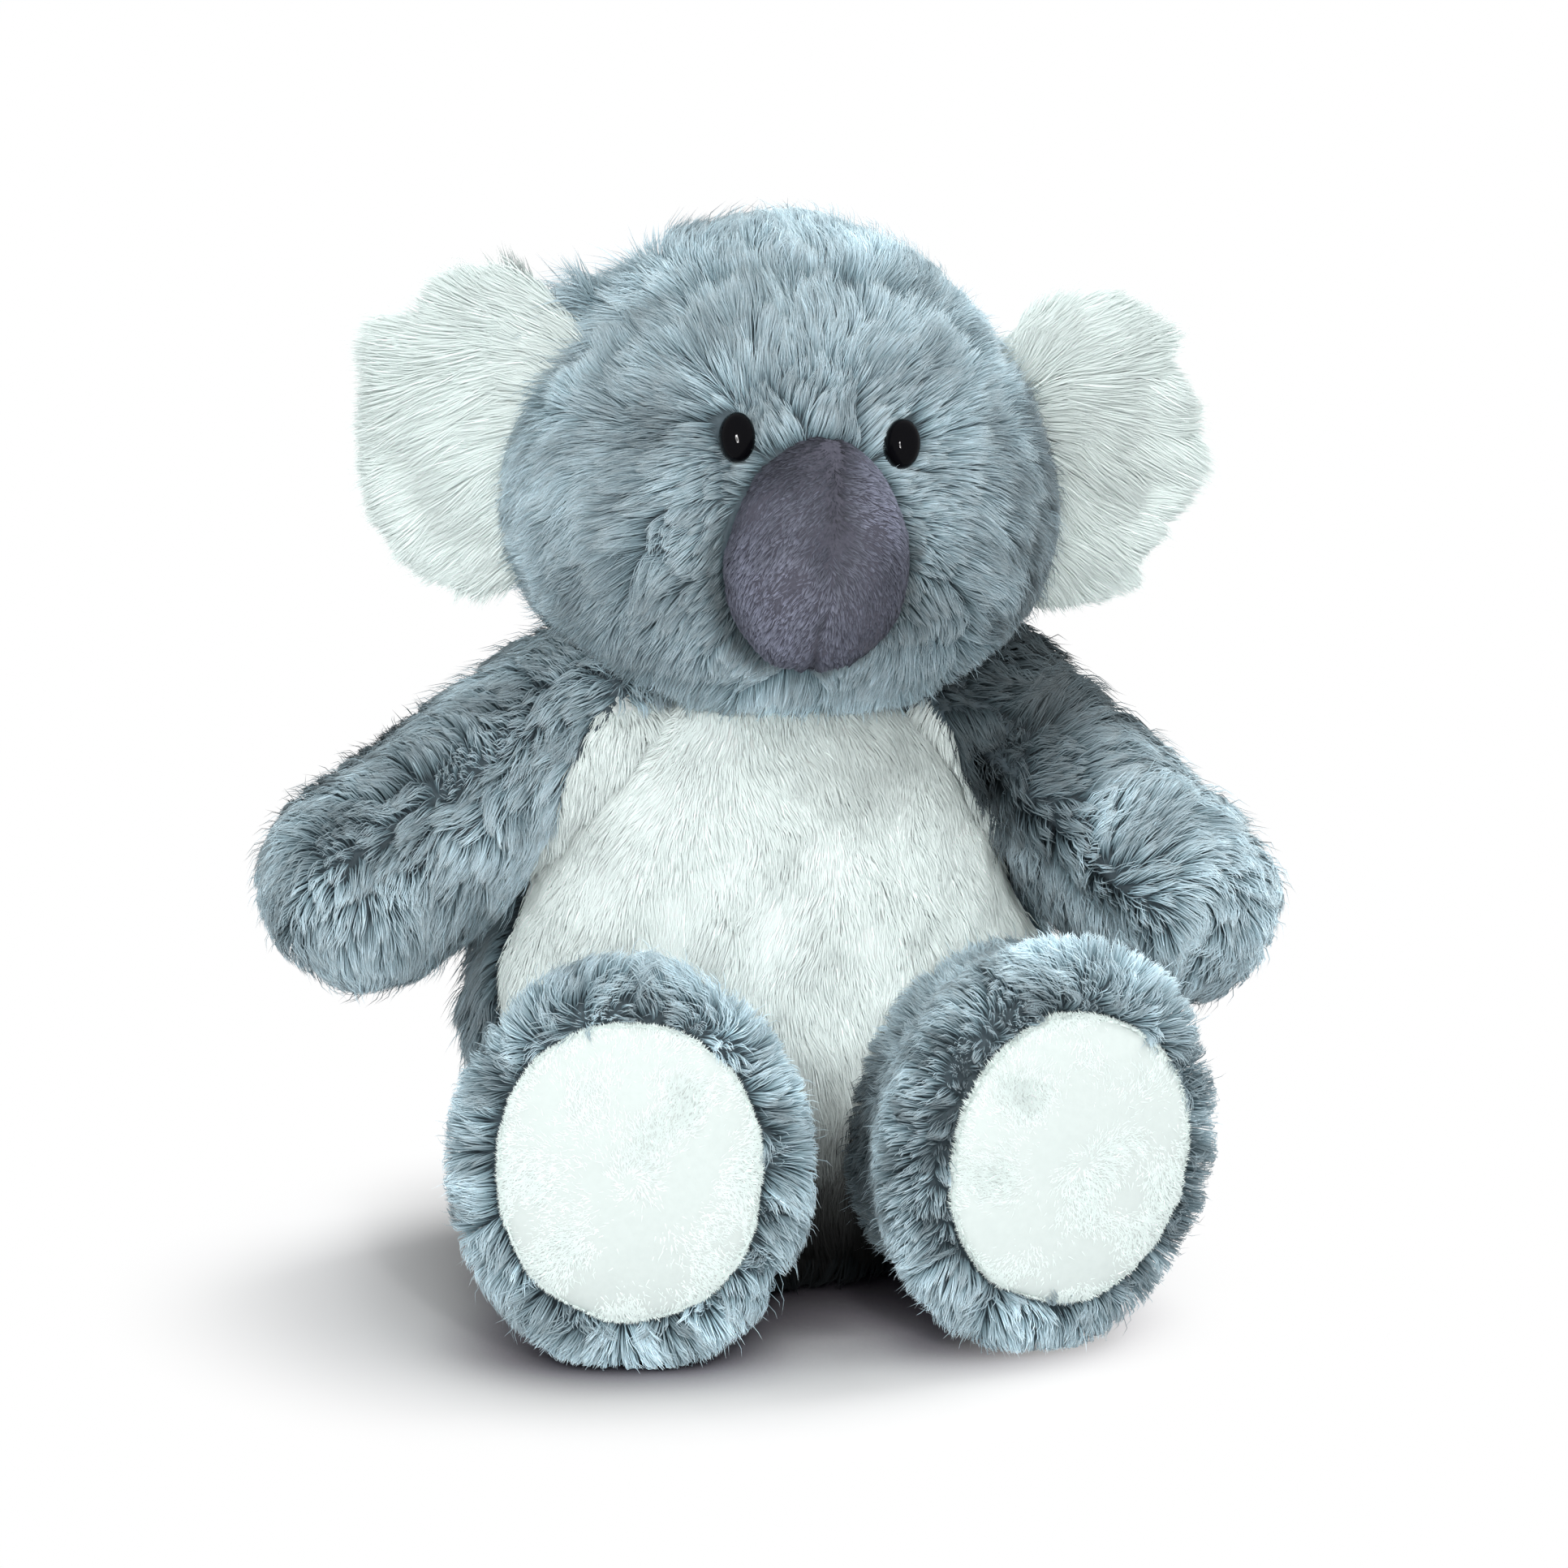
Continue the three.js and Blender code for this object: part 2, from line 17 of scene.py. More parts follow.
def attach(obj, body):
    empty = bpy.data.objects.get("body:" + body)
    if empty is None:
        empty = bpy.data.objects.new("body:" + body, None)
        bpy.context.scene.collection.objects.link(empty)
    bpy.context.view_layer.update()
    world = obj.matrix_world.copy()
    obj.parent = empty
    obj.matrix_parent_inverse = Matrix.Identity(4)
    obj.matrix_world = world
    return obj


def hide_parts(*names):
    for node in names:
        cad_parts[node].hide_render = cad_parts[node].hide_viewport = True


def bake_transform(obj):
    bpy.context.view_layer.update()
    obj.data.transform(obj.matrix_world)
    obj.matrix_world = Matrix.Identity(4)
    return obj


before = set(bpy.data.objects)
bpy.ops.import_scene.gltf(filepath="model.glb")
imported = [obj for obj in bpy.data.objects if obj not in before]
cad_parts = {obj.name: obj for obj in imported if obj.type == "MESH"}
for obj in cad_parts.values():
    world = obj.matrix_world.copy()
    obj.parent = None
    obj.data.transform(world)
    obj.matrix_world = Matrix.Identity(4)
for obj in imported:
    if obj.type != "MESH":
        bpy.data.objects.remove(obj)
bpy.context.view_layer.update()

MM = 0.001
TAU = 2 * math.pi
SIDES = {"left": -1, "right": 1}

# The photograph's view, in its own 1932 x 1932 pixels
PHOTO_SIDE = 1932
METRES_PER_PIXEL = 0.155 * MM
ORIGIN_PIXEL = (934, 1541)
VIEW_AZIMUTH = math.radians(-9)
VIEW_ELEVATION = math.radians(15)
VIEW_DISTANCE = 3.0
SENSOR_WIDTH = 36.0

# Sizes that the frame's solids have too
BODY_STATIONS_MM = ((0, -0.5), (27, 0), (44, 10), (55.5, 46), (46, 84), (31, 112), (0, 128))
BODY_DEPTH_RATIO = 0.85
HEAD_HALF_MM = np.array((51.5, 48, 47.5))
HEAD_TAPER = 0.17
HEAD_CENTRE_MM = (4.5, 0, 154.5)
HEAD_ROLL = math.radians(4.5)
NOSE_HALF_MM = np.array((17.5, 13, 22.5))
NOSE_CENTRE_MM = np.array((0, -46.5, -6))
NOSE_TAPER = 0.12
EYE_SPREAD_MM = 16.2
EYE_HEIGHT_MM = 14.8
EYE_SUNK_MM = 2.2
EYE_HALF_MM = (3.4, 4.75)
EYE_DOME_MM = 3.6
EAR_HALF_MM = (24, 30)
EAR_CUP_MM = 5
EAR_PLACE_MM = np.array((56, 4, 4))
EAR_TURN = math.radians(14)
EAR_ROOT_SPREAD_MM = 44
ARM_ROOT_RADIUS_MM = 18.5
ARM_PAW_RADIUS_MM = 20
ARM_PAW_AT_MM = 52
ARM_LINES_MM = {"left": ((-34, -8, 109), (-78, -16, 80)), "right": ((42, -8, 108), (73, -31, 78))}
FOOT_RADIUS_MM = 34
FOOT_HEIGHT_RATIO = 1.15
LEG_LINES_MM = {"left": ((-28, -22, 35), (-36.5, -80, 38.6)), "right": ((34, -22, 35), (49, -80, 38.6))}
FOOT_ROLL = {"left": math.radians(-2), "right": math.radians(15)}
SOLE_RADIUS_MM = 24.5

# How deep the cloth lies under the combed pile
PILE_MM = 5
BELLY_PILE_MM = 3

# The size of each sole's pad, as a share of the round pad's, and how far it is shifted on the foot
SOLE_FITS = {"left": (1.0, (0, 0)), "right": (0.965, (-0.8, -1.2))}

# How far each eye looks away from where its place on the face points
EYE_LOOKS = {"left": 1.4 * np.array((0.1, -0.95, 0.26)), "right": 1.4 * np.array((-0.15, -0.95, 0.26))}

# Where the left ear's upper edge meets the head
BY_LEFT_EAR_MM = (-35, 9, 28)

# The head's painted shade and painted light, as darker and paler places: strength, centre and radius
PAINTED_SHADE_PATCHES_MM = (
    (0.5, (22, -41, -18), 10), (0.3, (-25, -40, 24), 10), (0.5, (27, 0, 43), 12), (0.3, (4, -44, -31), 7),
    (0.28, (-42, -28, -16), 7), (0.15, (-26, -36, 6), 20),
)
PAINTED_LIGHT_PATCHES_MM = (
    (0.32, (-4, -46, 24), 9), (0.2, (0, -30, 40), 14), (0.25, (11, -20, 41), 10), (0.3, (-25, -20, 38), 8),
    (0.4, (-10, -48, 19), 6), (0.35, (-20, -35, -38), 10),
)

# Each arm: where the furrow on it faces, how far its pile stands up by the furrow, and how far the cloth
# under the white pile is raised
ARMS = {
    "left": dict(furrow_way=np.array((-0.1, -0.9, 0.35)), lift=0.6, raised_mm=1.6, seed=51),
    "right": dict(furrow_way=np.array((-0.68, -0.72, -0.2)), lift=0.15, raised_mm=0, seed=61),
}

# Each foot's pile: its level, how much painted light makes it paler on top and on its inner and outer
# sides, how dark its painted specks of shade are, how far it stands up on the inner side, and how far it is
# pressed down on the outer side
FEET = {
    "left": dict(level=1.14, top=0.25, inner=0.26, outer=0.22, shade_specks=0, lift=0, press_mm=0.3, seed=71),
    "right": dict(level=1.05, top=0.42, inner=0, outer=0, shade_specks=0.5, lift=0.5, press_mm=2.2, seed=81),
}

# Each ear: how far its outline is cut in, where the notch in its white pile is, in degrees from straight
# up towards the outer side, with painted shade along it, how much painted shade darkens the pile in its
# middle and beside the head, and whether its grey back shows over its top
EARS = {
    "left": dict(trim=0.12, notch=80, middle=0, shade_by_head=0.12, grey_top=1, seed=111),
    "right": dict(trim=0.03, notch=60, middle=0.2, shade_by_head=0.05, grey_top=0, seed=131),
}

# How far the white pile of each ear reaches: the angle, as above, and the share of the ear's half size.
# The dips are the notches between its locks.
EAR_FRINGE = {
    "left": ((-60, 1.15), (0, 1.18), (15, 1.15), (30, 1.07), (40, 1.18), (50, 1.25), (68, 1.26), (80, 1.0),
             (95, 1.02), (120, 1.02), (135, 1.07), (160, 1.08), (180, 1.14), (215, 1.1)),
    "right": ((-60, 1.1), (0, 1.1), (12, 1.04), (30, 1.1), (48, 1.17), (60, 0.95), (70, 1.06), (80, 1.18),
              (100, 1.17), (112, 0.95), (122, 0.99), (130, 0.91), (142, 1.05), (155, 1.05), (180, 1.0),
              (215, 1.0)),
}

# Which way the ends of a dense pile face in the light: a little up and to the left
BELLY_FACING = np.array((-0.22, -0.9, 0.38))
EAR_FACING = np.array((-0.28, -0.86, 0.42))
CORNER_FACING = np.array((-0.3, -0.75, 0.5))

# Lattice on which the distance to each form is kept
LATTICE = 0.5 * MM
LATTICE_MARGIN = 20 * MM


def unit(vectors):
    return vectors / np.maximum(np.linalg.norm(vectors, axis=-1, keepdims=True), 1e-12)


def smoothstep(low, high, values):
    share = np.clip((values - low) / (high - low), 0, 1)
    return share * share * (3 - 2 * share)


def hump(values, centre, width):
    """1 at a centre, fading to 0 on both sides of it."""
    return np.exp(-((values - centre) / width) ** 2)


def patch(p, centre, radius):
    """1 at a place, fading to 0 round it."""
    return np.exp(-(((p - np.array(centre)) / radius) ** 2).sum(axis=1))


def waves(points, wavelength_mm, seed, count=9):
    """A smooth random value at each point, with a spread of about 1."""
    rng = np.random.default_rng(seed)
    directions = unit(rng.normal(size=(count, 3)))
    phases = rng.uniform(0, TAU, count)
    turns = points @ directions.T * (TAU / (wavelength_mm * MM)) + phases
    return np.sin(turns).sum(axis=1) * math.sqrt(2 / count)


def steady(value):
    """A function that gives one value at every point."""
    return lambda points: np.full(len(points), value)


def looking(start_mm, target_mm, roll=0.0):
    """A matrix at start whose Z looks at target, with Y up, rolled about that line."""
    start, target = np.multiply(start_mm, MM), np.multiply(target_mm, MM)
    z_axis = unit(target - start)
    x_axis = unit(np.cross((math.sin(roll), 0, math.cos(roll)), z_axis))
    matrix = np.eye(4)
    matrix[:3] = np.stack([x_axis, np.cross(z_axis, x_axis), z_axis, start], axis=1)
    return matrix


def turned_about(axis, angle, origin_mm):
    """A matrix at origin turned about X (0), Y (1) or Z (2)."""
    matrix = np.eye(4)
    i, k = [(1, 2), (2, 0), (0, 1)][axis]
    matrix[i, i] = matrix[k, k] = math.cos(angle)
    matrix[i, k] = -math.sin(angle)
    matrix[k, i] = math.sin(angle)
    matrix[:3, 3] = np.multiply(origin_mm, MM)
    return matrix


def moved(points, matrix):
    return points @ matrix[:3, :3].T + matrix[:3, 3]


# Profiles run from the lower pole to the upper one, as rows of radius and height in millimetres


def spline_profile(stations, rows=60):
    """A smooth curve through the stations."""
    points = np.array(stations, float)
    padded = np.vstack([2 * points[0] - points[1], points, 2 * points[-1] - points[-2]])
    out = []
    for place in np.linspace(0, len(points) - 1, rows + 1):
        k = min(int(place), len(points) - 2)
        t = place - k
        a, b, c, d = padded[k:k + 4]
        bend = (2 * a - 5 * b + 4 * c - d) * t ** 2 + (3 * b - a - 3 * c + d) * t ** 3
        out.append(0.5 * (2 * b + (c - a) * t + bend))
    out = np.array(out)
    out[[0, -1], 0] = 0
    return out


def egg_profile(half, taper, rows):
    angle = np.linspace(-math.pi / 2, math.pi / 2, rows + 1)
    across = half[0] * np.cos(angle) * (1 - taper * np.sin(angle))
    across[[0, -1]] = 0
    return np.stack([across, half[2] * np.sin(angle)], axis=1)


def capsule_profile(root_radius, paw_radius, length, rows):
    lean = math.asin((root_radius - paw_radius) / length)
    low = np.linspace(-math.pi / 2, lean, rows)
    high = np.linspace(lean, math.pi / 2, rows)
    low_arc = np.stack([root_radius * np.cos(low), root_radius * np.sin(low)], axis=1)
    high_arc = np.stack([paw_radius * np.cos(high), length + paw_radius * np.sin(high)], axis=1)
    share = np.linspace(0, 1, rows)[1:-1, None]
    points = np.vstack([low_arc, low_arc[-1] + (high_arc[0] - low_arc[-1]) * share, high_arc])
    points[[0, -1], 0] = 0
    return points


class Form:
    """A form turned about its own Z axis, flattened by depth_ratio and placed by a matrix."""

    def __init__(self, profile_mm, depth_ratio, matrix):
        self.profile = profile_mm * MM
        self.length_mm = profile_mm[-1, 1]
        self.depth_ratio = depth_ratio
        self.matrix = matrix
        self.inverse = np.linalg.inv(matrix)
        self.table = None

    def local_mm(self, points):
        return moved(points, self.inverse) / MM

    def spin(self, vectors):
        """Directions from the form's own axes to the row frame."""
        return vectors @ self.matrix[:3, :3].T

    def grid(self, columns):
        """Points in the form's own axes, one row for each profile point."""
        angle = np.linspace(0, TAU, columns, endpoint=False)
        radius, height = self.profile[:, :1], self.profile[:, 1:]
        return np.stack([
            radius * np.sin(angle),
            -radius * np.cos(angle) * self.depth_ratio,
            np.broadcast_to(height, (len(self.profile), columns)),
        ], axis=2)

    def tabulate(self):
        """Keeps the signed distance to the profile on a lattice of radius and height."""
        self.table_low = self.profile[0, 1] - LATTICE_MARGIN
        radii = np.arange(0, self.profile[:, 0].max() + LATTICE_MARGIN, LATTICE)
        heights = np.arange(self.table_low, self.profile[-1, 1] + LATTICE_MARGIN, LATTICE)
        places = np.stack(np.meshgrid(radii, heights), axis=-1).reshape(-1, 2)
        best = np.full(len(places), np.inf)
        for origin, run in zip(self.profile[:-1], np.diff(self.profile, axis=0)):
            along = np.clip((places - origin) @ run / max(run @ run, 1e-18), 0, 1)
            best = np.minimum(best, ((places - origin - along[:, None] * run) ** 2).sum(axis=1))
        radius = np.interp(places[:, 1], self.profile[:, 1], self.profile[:, 0], left=0, right=0)
        signed = np.where(places[:, 0] < radius, -1.0, 1.0) * np.sqrt(best)
        self.table = signed.reshape(len(heights), len(radii))

    def reach(self, points):
        """How far each point is outside the surface (below 0 inside), and the way out of it."""
        if self.table is None:
            self.tabulate()
        flat = moved(points, self.inverse) * (1, 1 / self.depth_ratio, 1)
        rho = np.hypot(flat[:, 0], flat[:, 1])
        rows, columns = self.table.shape
        row = np.clip((flat[:, 2] - self.table_low) / LATTICE, 0, rows - 1.001)
        column = np.clip(rho / LATTICE, 0, columns - 1.001)
        i, k = row.astype(int), column.astype(int)
        up, across = row - i, column - k
        a, b = self.table[i, k], self.table[i, k + 1]
        c, d = self.table[i + 1, k], self.table[i + 1, k + 1]
        distance = (a * (1 - across) + b * across) * (1 - up) + (c * (1 - across) + d * across) * up
        sideways = (b - a) * (1 - up) + (d - c) * up
        upward = (c - a) * (1 - across) + (d - b) * across
        spread = flat[:, :2] / np.maximum(rho, 1e-9)[:, None] * sideways[:, None]
        outward = unit(np.stack([spread[:, 0], spread[:, 1] / self.depth_ratio, upward], axis=1))
        return distance, self.spin(outward)

    def outside_mm(self, points):
        return self.reach(points)[0] / MM


class Surface:
    """A closed grid surface in the row frame, with its normals, for skins and for fur to grow from."""

    def __init__(self, grid, matrix):
        rows, columns = grid.shape[:2]
        body = grid[1:-1].reshape(-1, 3)
        low, high = grid[0].mean(axis=0), grid[-1].mean(axis=0)
        self.points = moved(np.vstack([body, low, high]), matrix)
        index = np.arange((rows - 2) * columns).reshape(rows - 2, columns)
        after = np.roll(index, -1, axis=1)
        low_index, high_index = len(body), len(body) + 1
        quads = np.stack([index[:-1], after[:-1], after[1:], index[1:]], axis=-1).reshape(-1, 4)
        low_fan = np.stack([np.full(columns, low_index), after[0], index[0]], axis=-1)
        high_fan = np.stack([np.full(columns, high_index), index[-1], after[-1]], axis=-1)
        self.faces = [*quads.tolist(), *low_fan.tolist(), *high_fan.tolist()]
        self.triangles = np.vstack([quads[:, :3], quads[:, [0, 2, 3]], low_fan, high_fan])
        self.normals = self.vertex_normals()

    def corners(self):
        return (self.points[self.triangles[:, k]] for k in range(3))

    def vertex_normals(self):
        a, b, c = self.corners()
        across = np.cross(b - a, c - a)
        total = np.zeros_like(self.points)
        for k in range(3):
            np.add.at(total, self.triangles[:, k], across)
        return unit(total)

    def sunk(self, depth_mm):
        """Moves the surface inwards, or outwards where the depth is negative."""
        self.points = self.points - self.normals * np.reshape(depth_mm * MM, (-1, 1))
        self.normals = self.vertex_normals()

    def clear_of(self, form, inset_mm, way):
        """Slides the points that lie inside a neighbour along way, until they are inset under its surface."""
        inset = inset_mm * MM
        for _ in range(12):
            distance, outward = form.reach(self.points)
            deep = distance < -inset
            if not deep.any():
                break
            rate = np.maximum(outward[deep] @ way, 0.35)
            self.points[deep] += way * ((-inset - distance[deep]) / rate + 0.02 * MM)[:, None]
        self.normals = self.vertex_normals()

    def raised_to(self, height_mm):
        self.points[:, 2] = np.maximum(self.points[:, 2], height_mm * MM)

    def scatter(self, per_mm2, rng):
        """Random points spread evenly over the surface, with their normals."""
        a, b, c = self.corners()
        area = np.linalg.norm(np.cross(b - a, c - a), axis=1) / 2
        count = int(area.sum() / MM ** 2 * per_mm2)
        chosen = rng.choice(len(area), size=count, p=area / area.sum())
        u, v = rng.random(count), rng.random(count)
        flip = u + v > 1
        u[flip], v[flip] = 1 - u[flip], 1 - v[flip]
        weights = np.stack([1 - u - v, u, v], axis=1)[:, :, None]
        corner = self.triangles[chosen]
        return (self.points[corner] * weights).sum(axis=1), unit((self.normals[corner] * weights).sum(axis=1))


# Fur: strands as arrays


@dataclass
class Pile:
    """How a pile is made."""

    per_mm2: float
    lean: tuple  # off the skin's normal at root and tip, in radians
    width_mm: float
    joints: int = 3
    droop: float = 0.1
    tuft_mm: float = 1.8
    pull: float = 0.6  # how far strands are drawn into tufts
    lock_mm: float = 7.0
    lock_pull: float = 0.3
    swirl: float = 0.35
    stray: float = 0.16
    spill_mm: float = 1.0  # how far the tips may stand out of the form
    guard: float = 0.07  # share of longer single hairs
    mottle: float = 0.1
    twist: float = 0.8


@dataclass
class Strands:
    """Many strands of a few points each, with their skin normals, widths and shades."""

    line: np.ndarray
    normal: np.ndarray
    width: np.ndarray
    turn: np.ndarray
    tone: np.ndarray
    tuft_tone: np.ndarray
    shade: np.ndarray
    two_sided: bool = False

    @property
    def root(self):
        return self.line[:, 0]

    def only(self, chosen):
        parts = (self.line, self.normal, self.width, self.turn, self.tone, self.tuft_tone, self.shade)
        return Strands(*(part[chosen] for part in parts), self.two_sided)

    def face(self, way, share):
        """Turns the way strands face in the light towards one way, as the ends of a dense pile do."""
        self.normal = unit(self.normal * (1 - share) + way * share)


def nearest(points, centres):
    tree = kdtree.KDTree(len(centres))
    for i, centre in enumerate(centres):
        tree.insert(centre, i)
    tree.balance()
    return np.array([tree.find(point)[1] for point in points])


def gather(line, levels, size_mm, area_mm2, pull, rng):
    """Draws strands towards the nearest of some of their number; returns the leader of each strand."""
    count = len(line)
    leaders = rng.choice(count, size=int(np.clip(area_mm2 / size_mm ** 2, 3, count)), replace=False)
    owner = leaders[nearest(line[:, 0], line[leaders, 0])]
    apart = (line[:, 0] - line[owner, 0])[:, None] * (1 - 0.9 * levels)[:, None]
    line += (line[owner] + apart - line) * (pull[:, None, None] * (levels ** 0.8)[:, None])
    return owner


def combed_lines(root, normal, pile, comb, length, lift, guard, seed, rng):
    """The points of each strand, which leans along the comb's direction more and more towards its tip."""
    count = len(root)
    along = comb(root)
    along = unit(along - (along * normal).sum(axis=1, keepdims=True) * normal)
    side = np.cross(normal, along)
    turn = pile.swirl * (waves(root, 26, seed + 1) + 0.6 * waves(root, 9, seed + 2))
    turn = (turn + pile.stray * rng.normal(size=count))[:, None]
    along = along * np.cos(turn) + side * np.sin(turn)
    rise = 0.13 * waves(root, 14, seed + 3) + 0.1 * rng.normal(size=count) - 0.3 * guard - lift(root)
    reach = length(root) * (1 + 0.12 * rng.normal(size=count) + 0.10 * waves(root, 7, seed + 4))
    reach = np.maximum(reach * (1 + 0.2 * guard), 0.5)[:, None] * MM
    points = [root - normal * 0.3 * MM]
    for joint in range(pile.joints):
        angle = pile.lean[0] + (pile.lean[1] - pile.lean[0]) * joint / (pile.joints - 1) + rise
        angle = np.clip(angle, 0.05, 1.62)[:, None]
        step = np.cos(angle) * normal + np.sin(angle) * along
        step[:, 2] -= pile.droop * joint
        points.append(points[-1] + unit(step) * reach / pile.joints)
    return np.stack(points, axis=1)


def grow(surface, pile, comb, length, seed, keep, shade=steady(1.0), form=None, lift=steady(0.0),
         share=steady(1.0), press=steady(0.0)):
    """Grows strands. form is what the tips stay near, and the rest each take the roots.

    share is the part of the strands kept, each then wider, and press how far under form the tips stay.
    """
    rng = np.random.default_rng(seed)
    root, normal = surface.scatter(pile.per_mm2, rng)
    shares = share(root)
    kept = keep(root) & (rng.random(len(root)) < shares)
    root, normal, shares = root[kept], normal[kept], shares[kept]
    count = len(root)
    guard = rng.random(count) < pile.guard
    line = combed_lines(root, normal, pile, comb, length, lift, guard, seed, rng)

    levels = np.linspace(0, 1, pile.joints + 1)
    area_mm2 = count / pile.per_mm2
    strength = np.clip(pile.pull * (1 + 0.25 * rng.normal(size=count)), 0, 0.95) * (1 - 0.8 * guard)
    owner = gather(line, levels, pile.tuft_mm, area_mm2, strength, rng)
    parting = smoothstep(-0.6, 1.2, waves(root, 30, seed + 5))
    gather(line, levels, pile.lock_mm, area_mm2, pile.lock_pull * (0.35 + 0.65 * parting) * (1 - guard), rng)
    if form is not None:
        spill = pile.spill_mm * rng.uniform(0.3, 1.5, count) * (1 + 1.6 * guard) - press(root)
        for joint in range(1, pile.joints + 1):
            distance, outward = form.reach(line[:, joint])
            line[:, joint] -= outward * np.maximum(distance - spill * MM * levels[joint], 0)[:, None]
    line[:, :, 2] = np.maximum(line[:, :, 2], 0.3 * MM)
    width = pile.width_mm * MM * rng.uniform(0.75, 1.2, count) * (1 - 0.4 * guard) / np.sqrt(shares)
    turn = pile.twist * rng.uniform(-0.5, 0.5, count) * TAU
    shades = shade(root) * (1 + pile.mottle * waves(root, 13, seed + 6))
    # Painted glints: about three strands in a hundred are paler
    shades = shades * (1 + 0.35 * (rng.random(count) < 0.03))
    return Strands(line, normal, width, turn, rng.random(count), rng.random(count)[owner], shades)


# Meshes

MOST_TRIANGLES = 198000
RING_FACING = 0.4


def linked(name, data):
    obj = bpy.data.objects.new(name, data)
    bpy.context.scene.collection.objects.link(obj)
    return obj


def shade_smooth(mesh):
    mesh.polygons.foreach_set("use_smooth", np.ones(len(mesh.polygons), dtype=bool))


def store(layer, key, values):
    layer.foreach_set(key, values.astype(np.float32).ravel())


def strand_faces(rings):
    """One strand's faces, with the place of each corner in the strand's own square."""
    faces, places = [], []
    heights = np.linspace(0.04, 0.96, rings + 2)
    last = 3 * rings - 2
    for i in range(3):
        k = (i + 1) % 3
        left, right = 0.05 + 0.3 * i, 0.33 + 0.3 * i
        middle = (left + right) / 2
        faces.append((0, 1 + k, 1 + i))
        places.append(((middle, heights[0]), (right, heights[1]), (left, heights[1])))
        for ring in range(1, rings):
            low, high = heights[ring], heights[ring + 1]
            first = 3 * ring - 2
            faces.append((first + i, first + k, first + 3 + k, first + 3 + i))
            places.append(((left, low), (right, low), (right, high), (left, high)))
        faces.append((last + i, last + k, last + 3))
        places.append(((left, heights[-2]), (right, heights[-2]), (middle, heights[-1])))
    return faces, places


def strand_shapes(strands):
    """The corners of each strand's spike: a root point, rings of three and a tip, and where each faces."""
    line, normal = strands.line, strands.normal
    rings = line.shape[1] - 2
    steps = unit(np.diff(line, axis=1))
    helper = normal + 0.03 * np.where(np.abs(steps[:, -1, 2:]) > 0.9, (1.0, 0, 0), (0, 0, 1.0))
    angle = strands.turn[:, None] + TAU / 12 + TAU / 3 * np.arange(3)
    points = np.empty((len(line), 3 * rings + 2, 3))
    facing = np.empty_like(points)
    points[:, 0], points[:, -1] = line[:, 0], line[:, -1]
    for ring in range(1, rings + 1):
        way = unit(steps[:, ring - 1] + steps[:, ring])
        across = unit(np.cross(helper, way))
        up = np.cross(way, across)
        around = across[:, None] * np.cos(angle)[:, :, None] + up[:, None] * np.sin(angle)[:, :, None]
        at = slice(3 * ring - 2, 3 * ring + 1)
        share = 0.5 - 0.12 * (ring - 1)
        points[:, at] = line[:, ring, None] + around * (strands.width * share)[:, None, None]
        lifted = normal - (normal * way).sum(axis=1, keepdims=True) * way * 0.8
        outward = unit(lifted)[:, None]
        if strands.two_sided:
            outward = outward * np.where((around * outward).sum(axis=2, keepdims=True) < -0.5, -1, 1)
        facing[:, at] = outward + around * RING_FACING
    facing[:, 0], facing[:, -1] = normal, lifted
    return points, unit(facing)


def fur_mesh(name, strands, material):
    """One closed spike for each strand."""
    points, facing = strand_shapes(strands)
    count, corners_each = points.shape[:2]
    rings = corners_each // 3
    faces, places = strand_faces(rings)
    corners = np.concatenate([np.array(face) for face in faces])
    sizes = np.tile([len(face) for face in faces], count)
    loops = (np.arange(count)[:, None] * corners_each + corners).ravel()
    mesh = bpy.data.meshes.new(name)
    mesh.vertices.add(count * corners_each)
    store(mesh.vertices, "co", points)
    mesh.loops.add(len(loops))
    mesh.loops.foreach_set("vertex_index", loops.astype(np.int32))
    mesh.polygons.add(len(sizes))
    mesh.polygons.foreach_set("loop_start", np.concatenate([[0], np.cumsum(sizes)[:-1]]).astype(np.int32))
    mesh.materials.append(material)
    shade_smooth(mesh)
    mesh.update(calc_edges=True)

    along = np.concatenate([[0], np.repeat(np.arange(1, rings + 1) / (rings + 1), 3), [1]])
    tones = [np.repeat(values, corners_each) for values in (strands.tone, strands.tuft_tone, strands.shade)]
    store(mesh.color_attributes.new("fur", "FLOAT_COLOR", "POINT").data, "color",
          np.stack([np.tile(along, count), *tones], axis=1))
    cells = math.ceil(math.sqrt(count))
    cell = np.stack([np.arange(count) % cells, np.arange(count) // cells], axis=1)
    spots = np.concatenate([np.array(place) for place in places])
    store(mesh.uv_layers.new(name="OFBake").data, "uv", (cell[:, None] + spots) / cells)
    store(mesh.attributes.new("custom_normal", "FLOAT_VECTOR", "POINT").data, "vector", facing)
    return linked(name, mesh)


def put(obj, body, replaces=(), bend=None):
    """Parents a piece to the body it rides on, or, where bend is given, bakes its place into its points;
    hides the solids that it stands for.
    """
    if bend:
        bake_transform(obj)
    else:
        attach(obj, body)
    if replaces:
        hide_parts(*replaces)


def add_fur(name, strands, material, body=None, replaces=(), order=None, bend=None):
    """Makes one piece of fur, or several beside each other where it has too many strands for one."""
    along = strands.root[:, 0] if order is None else order
    triangles_each = 6 * (strands.line.shape[1] - 2)
    pieces = math.ceil(len(along) * triangles_each / MOST_TRIANGLES)
    for i, chosen in enumerate(np.array_split(np.argsort(along), pieces)):
        label = name if pieces == 1 else f"{name}_{i + 1}"
        put(fur_mesh(label, strands.only(chosen), material), body, () if i else replaces, bend)


def add_skin(name, surface, material, body=None, replaces=(), bend=None):
    mesh = bpy.data.meshes.new(name)
    mesh.from_pydata(surface.points.tolist(), [], surface.faces)
    mesh.materials.append(material)
    shade_smooth(mesh)
    mesh.validate()
    cover = linked(name, mesh)
    put(cover, body, replaces, bend)
    return cover


